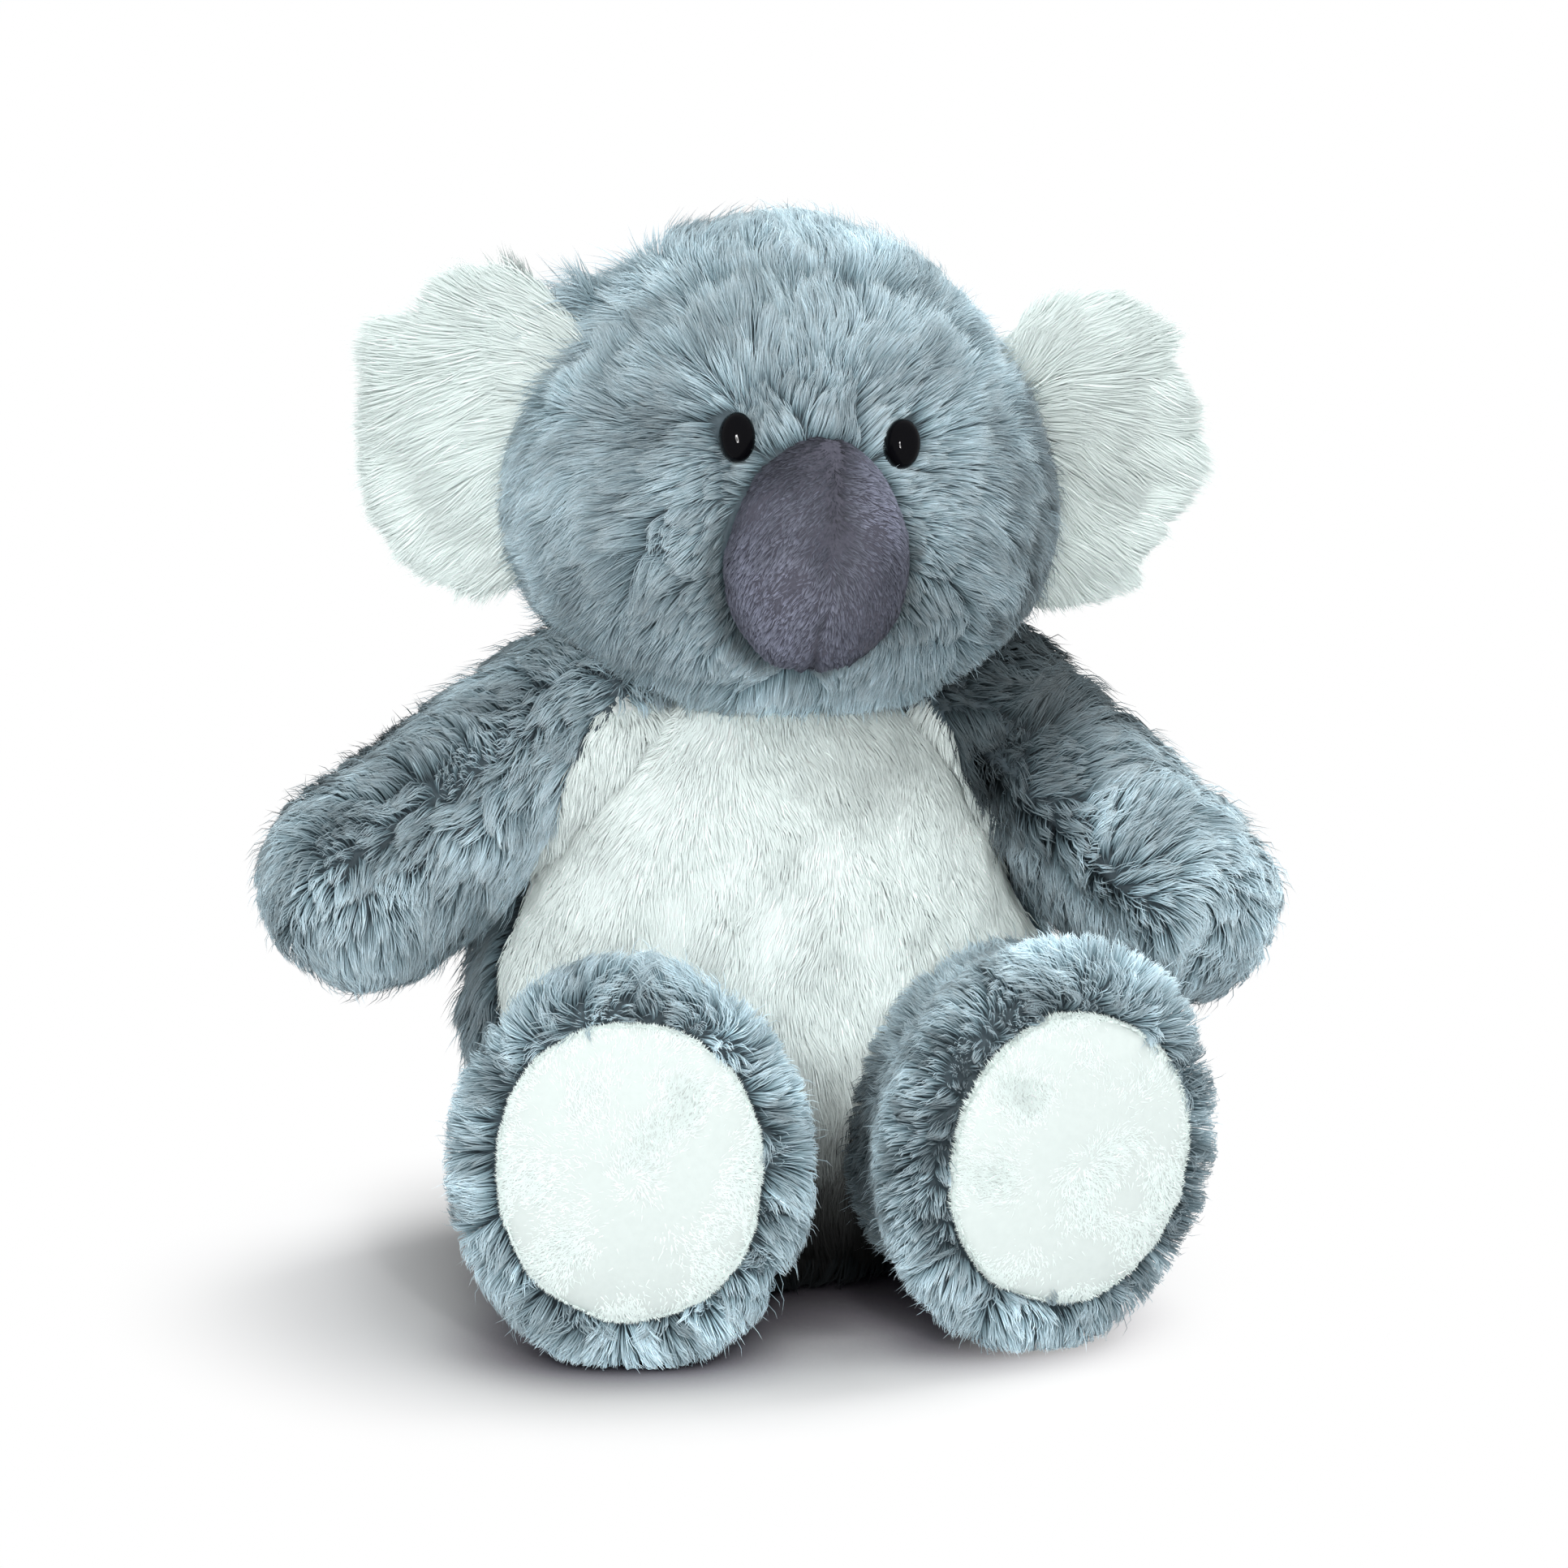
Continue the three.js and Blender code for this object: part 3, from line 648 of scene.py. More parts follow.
def whiten(cover, where):
    """Gives a skin white cloth where its faces' middles pass the test."""
    cover.data.materials.append(WHITE_CLOTH)
    centres = np.array([polygon.center for polygon in cover.data.polygons])
    cover.data.polygons.foreach_set("material_index", where(centres).astype(np.int32))


# Materials


class Tree:
    """A node tree, with short ways to add nodes to it."""

    def __init__(self, owner):
        owner.use_nodes = True
        self.nodes, self.links = owner.node_tree.nodes, owner.node_tree.links

    def set(self, node, inputs):
        """Sets a node's inputs, by name or number, to values or to other nodes' outputs."""
        for key, value in inputs.items():
            if isinstance(value, bpy.types.NodeSocket):
                self.links.new(value, node.inputs[key])
            else:
                node.inputs[key].default_value = value

    def add(self, kind, inputs, output=0, **settings):
        """Adds a node and returns one of its outputs."""
        node = self.nodes.new("ShaderNode" + kind)
        for key, value in settings.items():
            setattr(node, key, value)
        self.set(node, inputs)
        return node.outputs[output]

    def ramp(self, source, stops):
        colours = self.add("ValToRGB", {"Fac": source}, "Color")
        elements = colours.node.color_ramp.elements
        while len(elements) < len(stops):
            elements.new(1.0)
        for element, (place, colour) in zip(elements, stops):
            element.position = place
            element.color = (*colour, 1)
        return colours

    def ranged(self, source, low, high=1.0):
        return self.add("MapRange", {"Value": source, "To Min": low, "To Max": high}, "Result")

    def eased(self, source, start, end, low=0.0):
        """From low at start to 1 at end, with soft ends."""
        inputs = {"Value": source, "From Min": start, "From Max": end, "To Min": low}
        return self.add("MapRange", inputs, "Result", interpolation_type="SMOOTHSTEP")

    def maths(self, operation, first, second):
        return self.add("Math", {0: first, 1: second}, operation=operation)

    def vector(self, operation, first, second, output="Vector"):
        return self.add("VectorMath", {0: first, 1: second}, output, operation=operation)

    def scaled(self, vector, factor):
        return self.add("VectorMath", {0: vector, "Scale": factor}, "Vector", operation="SCALE")

    def mix(self, share, first, second):
        return self.add("MixShader", {"Fac": share, 1: first, 2: second})

    def camera_only(self):
        """1 where the camera, a mirror or a glass looks, and 0 for light on the object."""
        path = self.add("LightPath", {}).node
        seen = self.maths("MAXIMUM", path.outputs["Is Camera Ray"], path.outputs["Is Glossy Ray"])
        return self.maths("MAXIMUM", seen, path.outputs["Is Transmission Ray"])


def new_material(name, roughness, specular=0.5):
    """A material, its tree and its shader."""
    material = bpy.data.materials.new(name)
    tree = Tree(material)
    shader = tree.nodes["Principled BSDF"]
    tree.set(shader, {"Roughness": roughness, "Specular IOR Level": specular})
    return material, tree, shader


def fur_material(name, colours, strand_range, tuft_range):
    """Darker at the root, as painted shade deep in the pile, and pale at the tip, with every strand and tuft
    a little different.
    """
    material, tree, shader = new_material(name, 0.6, 0.15)
    marks = tree.add("Attribute", {}, "Color", attribute_name="fur")
    parts = tree.add("SeparateColor", {"Color": marks}).node.outputs
    tint = tree.ramp(parts["Red"], tuple(zip((0.0, 0.4, 0.75, 1.0), colours)))
    strand = tree.ranged(parts["Green"], *strand_range)
    tuft = tree.ranged(parts["Blue"], *tuft_range)
    level = tree.maths("MULTIPLY", tree.maths("MULTIPLY", strand, tuft), marks.node.outputs["Alpha"])
    tree.set(shader, {"Base Color": tree.scaled(tint, level)})
    return material


def cloth_material(name, dark, pale, scale, roughness=0.9, bump=0.25):
    """Backing cloth or moulded stock: a fine mottle with a matching bump."""
    material, tree, shader = new_material(name, roughness)
    place = tree.add("TexCoord", {}, "Object")
    noise = tree.add("TexNoise", {"Vector": place, "Scale": scale, "Detail": 6}, "Fac")
    rough = tree.add("Bump", {"Strength": bump, "Distance": 0.3 * MM, "Height": noise}, "Normal")
    tree.set(shader, {"Base Color": tree.ramp(noise, ((0.3, dark), (0.7, pale))), "Normal": rough})
    return material


def eye_material():
    material, tree, shader = new_material("polished_black_plastic", 0.04)
    noise = tree.add("TexNoise", {"Scale": 900}, "Fac")
    colours = tree.ramp(noise, ((0.4, (0.002, 0.002, 0.003)), (0.6, (0.004, 0.004, 0.005))))
    tree.set(shader, {"Base Color": colours, "IOR": 1.13})
    return material


GREY_FUR = fur_material(
    "grey_fur",
    ((0.03, 0.05, 0.065), (0.205, 0.30, 0.34), (0.43, 0.555, 0.61), (0.625, 0.745, 0.785)),
    (0.78, 1.18), (0.84, 1.12),
)
WHITE_FUR = fur_material(
    "white_fur",
    ((0.83, 0.93, 0.905), (0.865, 0.965, 0.935), (0.88, 0.985, 0.955), (0.88, 0.985, 0.955)),
    (0.985, 1.0), (0.99, 1.0),
)
NOSE_NAP = fur_material(
    "nose_nap",
    ((0.04, 0.038, 0.058), (0.09, 0.095, 0.13), (0.145, 0.155, 0.20), (0.20, 0.215, 0.28)),
    (0.75, 1.25), (0.8, 1.15),
)
# The backing cloth under the grey pile is nearly black as painted shade, so gaps in the pile look dark
GREY_CLOTH = cloth_material("grey_backing_cloth", (0.05, 0.075, 0.09), (0.085, 0.12, 0.14), 400)
WHITE_CLOTH = cloth_material("white_backing_cloth", (0.88, 0.94, 0.92), (0.93, 0.985, 0.965), 400)
NOSE_CLOTH = cloth_material("nose_velour", (0.04, 0.04, 0.06), (0.07, 0.07, 0.095), 1500)
SOLE_CLOTH = cloth_material("sole_velour", (0.62, 0.69, 0.665), (0.655, 0.725, 0.70), 700, bump=0.15)
EYE_PLASTIC = eye_material()
WASHER_PLASTIC = cloth_material("washer_plastic", (0.72, 0.72, 0.70), (0.80, 0.80, 0.78), 300, 0.45, 0.05)

HEAD_PILE = Pile(6.2, (0.75, 1.2), 0.22, droop=0.05, tuft_mm=1.5, pull=0.55, swirl=0.28, lock_pull=0.4)
BACK_PILE = Pile(2.8, (0.75, 1.2), 0.34)
ARM_PILE = Pile(5.0, (0.7, 1.12), 0.26, pull=0.7, swirl=0.35, lock_pull=0.4)
FOOT_PILE = Pile(5.6, (0.45, 0.95), 0.23, tuft_mm=1.5, pull=0.55, swirl=0.55, stray=0.25, lock_mm=5.5,
                 lock_pull=0.4, mottle=0.13, guard=0.04)
BELLY_PILE = Pile(6.0, (1.2, 1.48), 0.27, joints=2, droop=0.12, pull=0.2, swirl=0.22, lock_pull=0.15,
                  spill_mm=0.8, guard=0.0, mottle=0, twist=0.04)
EAR_PILE = Pile(6.8, (1.0, 1.38), 0.25, droop=0.04, tuft_mm=1.8, pull=0.25, lock_mm=9.0, lock_pull=0.3,
                swirl=0.22, mottle=0, guard=0, twist=0.05)
NOSE_PILE = Pile(10.0, (1.15, 1.45), 0.2, joints=2, droop=0, tuft_mm=0.8, pull=0.6, lock_mm=2.0,
                 lock_pull=0.3, swirl=0.08, stray=0.05, guard=0, mottle=0)
SOLE_PILE = Pile(11.0, (1.35, 1.6), 0.22, joints=2, droop=0, tuft_mm=1.0, pull=0.1, lock_mm=3.0,
                 lock_pull=0.0, stray=0.5, guard=0, mottle=0, twist=0.04)


# Forms in their places


def leg_form(side):
    hip, sole = LEG_LINES_MM[side]
    length = math.dist(hip, sole)
    sole_edge = ((FOOT_RADIUS_MM, length - 14), (25, length - 4), (0, length))
    stations = ((0, -22), (24, -22 / 3), (29, 28), *sole_edge)
    return Form(spline_profile(stations), FOOT_HEIGHT_RATIO, looking(hip, sole, FOOT_ROLL[side]))


HEAD_MATRIX = turned_about(1, HEAD_ROLL, HEAD_CENTRE_MM)
head_form = Form(egg_profile(HEAD_HALF_MM, HEAD_TAPER, 64), HEAD_HALF_MM[1] / HEAD_HALF_MM[0], HEAD_MATRIX)
body_form = Form(spline_profile(BODY_STATIONS_MM), BODY_DEPTH_RATIO, np.eye(4))
arm_profile = capsule_profile(ARM_ROOT_RADIUS_MM, ARM_PAW_RADIUS_MM, ARM_PAW_AT_MM, 20)
arm_forms = {side: Form(arm_profile, 1.0, looking(*ARM_LINES_MM[side])) for side in SIDES}
leg_forms = {side: leg_form(side) for side in SIDES}


# Head, in its own millimetres


def face_point(across, height):
    """The point of the head's form at a place on the face."""
    sine = height / HEAD_HALF_MM[2]
    ring = math.sqrt(1 - sine * sine) * (1 - HEAD_TAPER * sine)
    sideways = across / (HEAD_HALF_MM[0] * ring)
    return np.array((across, -HEAD_HALF_MM[1] * ring * math.sqrt(1 - sideways ** 2), height))


EYE_POINTS_MM = [face_point(sign * EYE_SPREAD_MM, EYE_HEIGHT_MM) for sign in SIDES.values()]


def behind_the_seam(p):
    """How far a point lies behind the seam that runs over the head from ear to ear."""
    return p[:, 1] + 20 - 22 * (p[:, 0] / 50) ** 2


def around_nose(p):
    """1 all along the edge of the nose, and more outside it."""
    return np.linalg.norm((p - NOSE_CENTRE_MM) / (NOSE_HALF_MM * (1, 2, 1)), axis=1)


def head_surface():
    surface = Surface(head_form.grid(128), HEAD_MATRIX)
    p = head_form.local_mm(surface.points)
    seam = 3.2 * hump(behind_the_seam(p), 0, 4.5) * smoothstep(0, 20, p[:, 2])
    cheeks = sum(patch(p, (sign * 34, -30, -18), 17) for sign in SIDES.values())
    sockets = sum(patch(p, eye, 8) for eye in EYE_POINTS_MM)
    rim = 1.2 * hump(around_nose(p), 1, 0.14) * (1 - np.minimum(sockets, 1)) * smoothstep(6, -4, p[:, 2])
    surface.sunk(PILE_MM + seam - 1.2 * cheeks + 0.2 * sockets + rim)
    return surface


def head_comb(root):
    """Away from the bridge of the nose over the face, then back and down over the back of the head."""
    p = head_form.local_mm(root)
    away = unit(p - (0, -50, 8))
    away[:, 2] -= 0.35 * smoothstep(6, 30, np.abs(p[:, 0])) * smoothstep(30, -5, p[:, 2])
    for sign in SIDES.values():
        brow = (0.9 * patch(p, (sign * 10, -48, 15), 7))[:, None]
        away = away * (1 - brow) + np.array((sign * 0.75, 0, -0.6)) * brow
    back = unit(p * (0.014, 0, 0) + (0, 0.6, -0.8))
    crown = unit(p * (0.6, 0, 1) + (0, 20, 10))
    low_back = smoothstep(38, 12, p[:, 2])[:, None]
    rear = crown * (1 - low_back) + back * low_back
    share = smoothstep(-4, 6, behind_the_seam(p))[:, None]
    corner = np.minimum(1.5 * patch(p, BY_LEFT_EAR_MM, 9), 1)[:, None]
    comb = away * (1 - share) + rear * share
    return head_form.spin(comb * (1 - corner) + np.array((-0.76, 0.12, 0.64)) * corner)


def head_reach(root):
    p = head_form.local_mm(root)
    near_nose = np.linalg.norm((p - NOSE_CENTRE_MM) / (24, 30, 29), axis=1)
    upper = smoothstep(0, 10, p[:, 2])
    reach = 4.0 + 2.0 * upper + (7.0 - 2.0 * upper) * smoothstep(0.75, 1.6, near_nose)
    for eye in EYE_POINTS_MM:
        reach = reach * (0.5 + 0.5 * smoothstep(3.5, 12, np.linalg.norm(p - eye, axis=1)))
    return reach + 12 * patch(p, BY_LEFT_EAR_MM, 10)


def head_press(root):
    """The fur stands up where the left ear's upper edge meets the head, and fills the corner."""
    return -18 * patch(head_form.local_mm(root), BY_LEFT_EAR_MM, 10)


def head_keep(root):
    """True where head fur may grow: clear of the nose, the eyes and the body."""
    p = head_form.local_mm(root)
    gap = (p - NOSE_CENTRE_MM) / (NOSE_HALF_MM + (-0.5, 9, -0.5))
    clear = np.linalg.norm(gap, axis=1) > 1 - 0.09 * smoothstep(-4, 6, p[:, 2])
    for eye in EYE_POINTS_MM:
        gap = (p - eye) / (EYE_HALF_MM[0] - 0.5, 9, EYE_HALF_MM[1] - 0.5)
        clear &= np.linalg.norm(gap, axis=1) > 1
    return clear & (body_form.outside_mm(root) > -3)


def head_shade(root):
    p = head_form.local_mm(root)
    x, _, z = p.T
    behind = behind_the_seam(p)
    high = smoothstep(16, 34, z)
    left_cheek = smoothstep(-2, -16, z) * smoothstep(0, 14, -x) * smoothstep(44, 34, -x)
    by_right_ear = smoothstep(25, 40, x + 3 * waves(root, 12, 17)) * smoothstep(32, 16, np.abs(z + 7))
    by_right_ear *= 1 + 0.25 * waves(root, 5, 18)
    painted_shade_by_nose = hump(around_nose(p), 1.02, 0.09) * smoothstep(4, -6, z)
    # Painted shade on the lower left cheek, beside the right ear, round the nose's lower half and along the
    # seam
    dark = 0.26 * left_cheek + 0.52 * by_right_ear + 0.5 * painted_shade_by_nose + 0.16 * hump(behind, 1, 3.5) * high
    # Painted light under the chin, on the far left side and at the pale patches; the crown behind the seam is
    # paler
    pale = 0.33 * smoothstep(3, 10, behind) * high + 0.45 * smoothstep(-26, -38, z)
    pale += 0.2 * smoothstep(34, 44, -x)
    dark += sum(strength * patch(p, centre, radius) for strength, centre, radius in PAINTED_SHADE_PATCHES_MM)
    pale += sum(strength * patch(p, centre, radius) for strength, centre, radius in PAINTED_LIGHT_PATCHES_MM)
    return (1 + pale) * (1 - np.minimum(dark, 0.8))


def head_share(root):
    """Fewer and wider strands on the back of the head."""
    return 1 - 0.56 * smoothstep(8, 26, behind_the_seam(head_form.local_mm(root)))


def make_head():
    surface = head_surface()
    add_skin("head_skin", surface, GREY_CLOTH, "head", ("head_filling",))
    strands = grow(surface, HEAD_PILE, head_comb, head_reach, 11, head_keep, head_shade, head_form,
                   share=head_share, press=head_press)
    p = head_form.local_mm(strands.root)
    strands.normal[patch(p, BY_LEFT_EAR_MM, 9) > 0.25] = unit(CORNER_FACING)
    gusset = np.abs(p[:, 0]) < np.interp(p[:, 1], (-48, -24, 0, 48), (14, 20, 22, 10))
    gusset &= p[:, 2] > -16
    left = p[:, 0] < 0
    for name, mask, node in (
        ("head_gusset_fur", gusset, "head_gusset"),
        ("head_left_fur", ~gusset & left, "head_left_panel"),
        ("head_right_fur", ~gusset & ~left, "head_right_panel"),
    ):
        add_fur(name, strands.only(mask), GREY_FUR, "head", (node,), order=p[mask, 1])


# Body


def inside_belly(points):
    """How many millimetres each point lies inside the white panel's edge, below 0 outside it."""
    x, y, z = (points / MM).T
    half = np.interp(z, (9, 20, 62, 128), (34, 48, 53.5, 30.5))
    return np.minimum(np.minimum(-10 - y, half - np.abs(x)), z - 10)


def is_belly(points):
    return inside_belly(points) > 0


def beside_belly(points):
    """True on the front of an arm's root, which the white pile of the belly covers."""
    x, y, z = (points / MM).T
    left = np.interp(z, (70, 84, 103, 116), (53, 49, 40, 31))
    right = np.interp(z, (73, 84, 103, 116), (51, 46, 37, 28))
    return (x > -left) & (x < right) & (y < -12) & (z < 115)


def belly_bulge(points):
    """How much further than elsewhere the sides of the belly swell."""
    x, y, z = (points / MM).T
    at_side = smoothstep(28, 46, np.abs(x)) * smoothstep(20, -5, y)
    return 2.6 * at_side * smoothstep(40, 60, z) * smoothstep(104, 88, z)


def off_the_limbs(root):
    """True where body fur may grow: not under the head or where a limb is sewn on, and not under the seat."""
    clear = (head_form.outside_mm(root) > -2) & (root[:, 2] > 1.5 * MM)
    for form in (*arm_forms.values(), *leg_forms.values()):
        clear &= form.outside_mm(root) > -6
    return clear


def body_reach(root):
    return np.where(is_belly(root), 5.5 + 4 * smoothstep(75, 25, root[:, 2] / MM), 10.5)


def body_shade(root):
    """Painted shade low on the front, between the feet."""
    _, y, z = (root / MM).T
    return 0.8 - 0.77 * smoothstep(26, 14, z) * smoothstep(8, -12, y)


# Painted shade: the white pile darkens to near black low between the legs, and a painted shadow lies under
# the chin
def belly_shade(root):
    x, _, z = (root / MM).T
    painted_chin_shadow = 0.32 * hump(x, 20, 17) * smoothstep(86, 106, z)
    return np.interp(z, (22, 31, 40, 50, 57), (0.006, 0.04, 0.27, 0.76, 1)) * (1 - painted_chin_shadow)


def body_comb(root):
    return root * (4, 0, 0) + (0, 0, -1)


def make_body():
    surface = Surface(body_form.grid(128), body_form.matrix)
    raised = smoothstep(0, 7, inside_belly(surface.points))
    surface.sunk(PILE_MM + (BELLY_PILE_MM - PILE_MM) * raised - belly_bulge(surface.points))
    surface.raised_to(1)
    surface.clear_of(head_form, PILE_MM - 1, np.array((0, 0, -1.0)))
    cover = add_skin("body_skin", surface, GREY_CLOTH, "body", ("body_filling", "pellet_bag"))
    # The belly's cloth stays dark grey below 34 mm, as painted shade low between the legs
    whiten(cover, lambda points: is_belly(points) & (points[:, 2] > 34 * MM))

    def press(root):
        return -belly_bulge(root)

    back = grow(surface, BACK_PILE, body_comb, body_reach, 31,
                lambda root: off_the_limbs(root) & ~is_belly(root), body_shade, body_form, press=press)
    front = grow(surface, BELLY_PILE, body_comb, body_reach, 41,
                 lambda root: off_the_limbs(root) & is_belly(root), belly_shade, body_form, press=press)
    front.face(BELLY_FACING, 0.6)
    add_fur("body_back_fur", back, GREY_FUR, "body", ("body_back_panel",))
    add_fur("belly_fur", front, WHITE_FUR, "body", ("belly_panel",))


# Arms


def from_furrow(side, root):
    """The angle round the arm from the furrow on its front: above 0 on the lower side of the arm."""
    form = arm_forms[side]
    facing = form.spin(np.eye(3)[:2]) @ ARMS[side]["furrow_way"]
    heading = math.atan2(facing[0], facing[1])
    x, y, _ = form.local_mm(root).T
    offset = (np.arctan2(x, y) - heading + math.pi) % TAU - math.pi
    below = form.spin(np.cross((0, 0, 1.0), np.array((math.sin(heading), math.cos(heading), 0))))
    return offset * (1 if below[2] > 0 else -1)


def arm_comb(side, root):
    """Along the arm, parted by a furrow on its front: fur falls below the furrow and rises above it."""
    form = arm_forms[side]
    p = form.local_mm(root)
    outward = form.spin(unit(p * (1, 1, 0)))
    along = form.matrix[:3, 2]
    down = np.array((0, 0, -1.0))
    offset = from_furrow(side, root)
    below = smoothstep(-0.1, 0.3, offset) * smoothstep(2.9, 2.3, offset)
    above = smoothstep(0.0, -0.4, offset) * smoothstep(-2.6, -1.9, offset)
    flow = along * 0.55 + down * (1.1 * below - 0.7 * above)[:, None]
    paw = smoothstep(ARM_PAW_AT_MM - 4, ARM_PAW_AT_MM + ARM_PAW_RADIUS_MM, p[:, 2])[:, None]
    return flow * (1 - paw) + (outward * 0.5 + along * 0.3 + down * 0.9) * paw


def arm_shade(side, root):
    """Painted shade along the furrow; the right arm has painted shade on its whole inner side and painted
    light outside.
    """
    offset = from_furrow(side, root)
    z = arm_forms[side].local_mm(root)[:, 2]
    if side == "left":
        # The left arm's painted shade also darkens the band above the furrow, and painted light pales its paw
        dark = 0.42 * hump(offset, -0.6, 0.28) + 0.2 * hump(offset, 0, 0.15)
        return (1.06 + 0.06 * smoothstep(24, 60, z) + 0.2 * smoothstep(48, 66, z)) * (1 - dark)
    # The right arm also has painted shade towards its root, under the chin
    inner = smoothstep(-0.1, 0.3, offset) * smoothstep(64, 30, z)
    outer = smoothstep(0.0, -0.5, offset) * smoothstep(20, 45, z)
    return (1.14 + 0.14 * outer) * (1 - 0.5 * inner) * (1 - 0.82 * smoothstep(36, 10, z))


def arm_press(side, root):
    """How much further the right arm's fur is pressed down on its upper side."""
    offset = from_furrow(side, root)
    return 1.8 * smoothstep(-0.3, -1.2, offset) * smoothstep(-3.1, -2.4, offset) * (side == "right")


def arm_keep(root):
    by_belly = inside_belly(root - (0, 8 * MM, 0)) > -4
    on_body = body_form.outside_mm(root) > np.where(by_belly, 0.5, -4)
    return (head_form.outside_mm(root) > -4) & on_body


def arm_surface(side):
    form = arm_forms[side]
    surface = Surface(form.grid(72), form.matrix)
    z = form.local_mm(surface.points)[:, 2]
    furrow = hump(from_furrow(side, surface.points), 0, 0.16) * smoothstep(-6, 6, z)
    furrow *= smoothstep(ARM_PAW_AT_MM + 12, ARM_PAW_AT_MM, z)
    raised = ARMS[side]["raised_mm"] * beside_belly(surface.points)
    surface.sunk(PILE_MM + 2.4 * furrow + arm_press(side, surface.points) - raised)
    for neighbour in (body_form, head_form):
        surface.clear_of(neighbour, PILE_MM, form.matrix[:3, 2])
    return surface


def make_arm(side):
    form, seed = arm_forms[side], ARMS[side]["seed"]
    axis, shoulder = form.matrix[:3, 2], form.matrix[:3, 3]
    surface = arm_surface(side)
    bend = ("body", f"{side}_arm", shoulder + axis * 2 * MM, shoulder + axis * 26 * MM)
    cover = add_skin(f"{side}_arm_skin", surface, GREY_CLOTH,
                     replaces=(f"{side}_arm_filling",), bend=bend)
    whiten(cover, lambda points: beside_belly(points * (1.07, 1, 1)))

    def lift(root):
        return ARMS[side]["lift"] * hump(from_furrow(side, root), -0.5, 0.45)

    def share(root):
        """Fewer and wider strands on the back of the arm."""
        return 1 - 0.45 * smoothstep(1.6, 2.2, np.abs(from_furrow(side, root)))

    strands = grow(surface, ARM_PILE, partial(arm_comb, side), steady(10.5), seed,
                   lambda root: arm_keep(root) & ~beside_belly(root), partial(arm_shade, side), form,
                   lift, share, partial(arm_press, side))
    add_fur(f"{side}_arm_fur", strands, GREY_FUR, None, (f"{side}_arm_cover",), bend=bend)
    chest = grow(surface, BELLY_PILE, body_comb, steady(5.5), seed + 7,
                 lambda root: arm_keep(root) & beside_belly(root), belly_shade, form, steady(0.15))
    chest.face(BELLY_FACING, 0.85)
    add_fur(f"{side}_chest_fur", chest, WHITE_FUR, bend=bend)


# Legs


def sole_outline(angle, size):
    """The pad's radius at each angle, as a share of the round pad's: a little broader at the top."""
    return size * (1 - 0.012 * np.cos(4 * angle) + 0.03 * np.cos(angle))


def from_sole(p, size, shift):
    """How far points lie outside the pad's outline."""
    across, up = p[:, 0] - shift[0], p[:, 1] - shift[1]
    outline = SOLE_RADIUS_MM * sole_outline(np.arctan2(across, up), size)
    return np.hypot(across, up / FOOT_HEIGHT_RATIO) - outline


def sole_surface(form, size, shift):
    """A domed pad set into the end of the foot, closed behind."""
    length = form.length_mm
    share = np.concatenate([np.linspace(0.0, 0.9, 8), 1 - 0.1 * (1 - np.linspace(0, 1, 12)[1:]) ** 2])
    fall = 1 - (1 - share ** 2.1) ** 0.5
    front = np.stack([share * SOLE_RADIUS_MM, length + 0.3 - 5.3 * fall], axis=1)
    back = np.array(((0, -10), (15, -9.5), (22, -8.5), (24, -6.8))) + (0, length)
    grid = Form(np.vstack([back, front[::-1]]), FOOT_HEIGHT_RATIO, form.matrix).grid(96)
    angle = np.arctan2(grid[..., 0], grid[..., 1])
    grid[..., :2] *= sole_outline(angle, size)[..., None]
    grid[..., :2] += np.multiply(shift, MM)
    return Surface(grid, form.matrix)


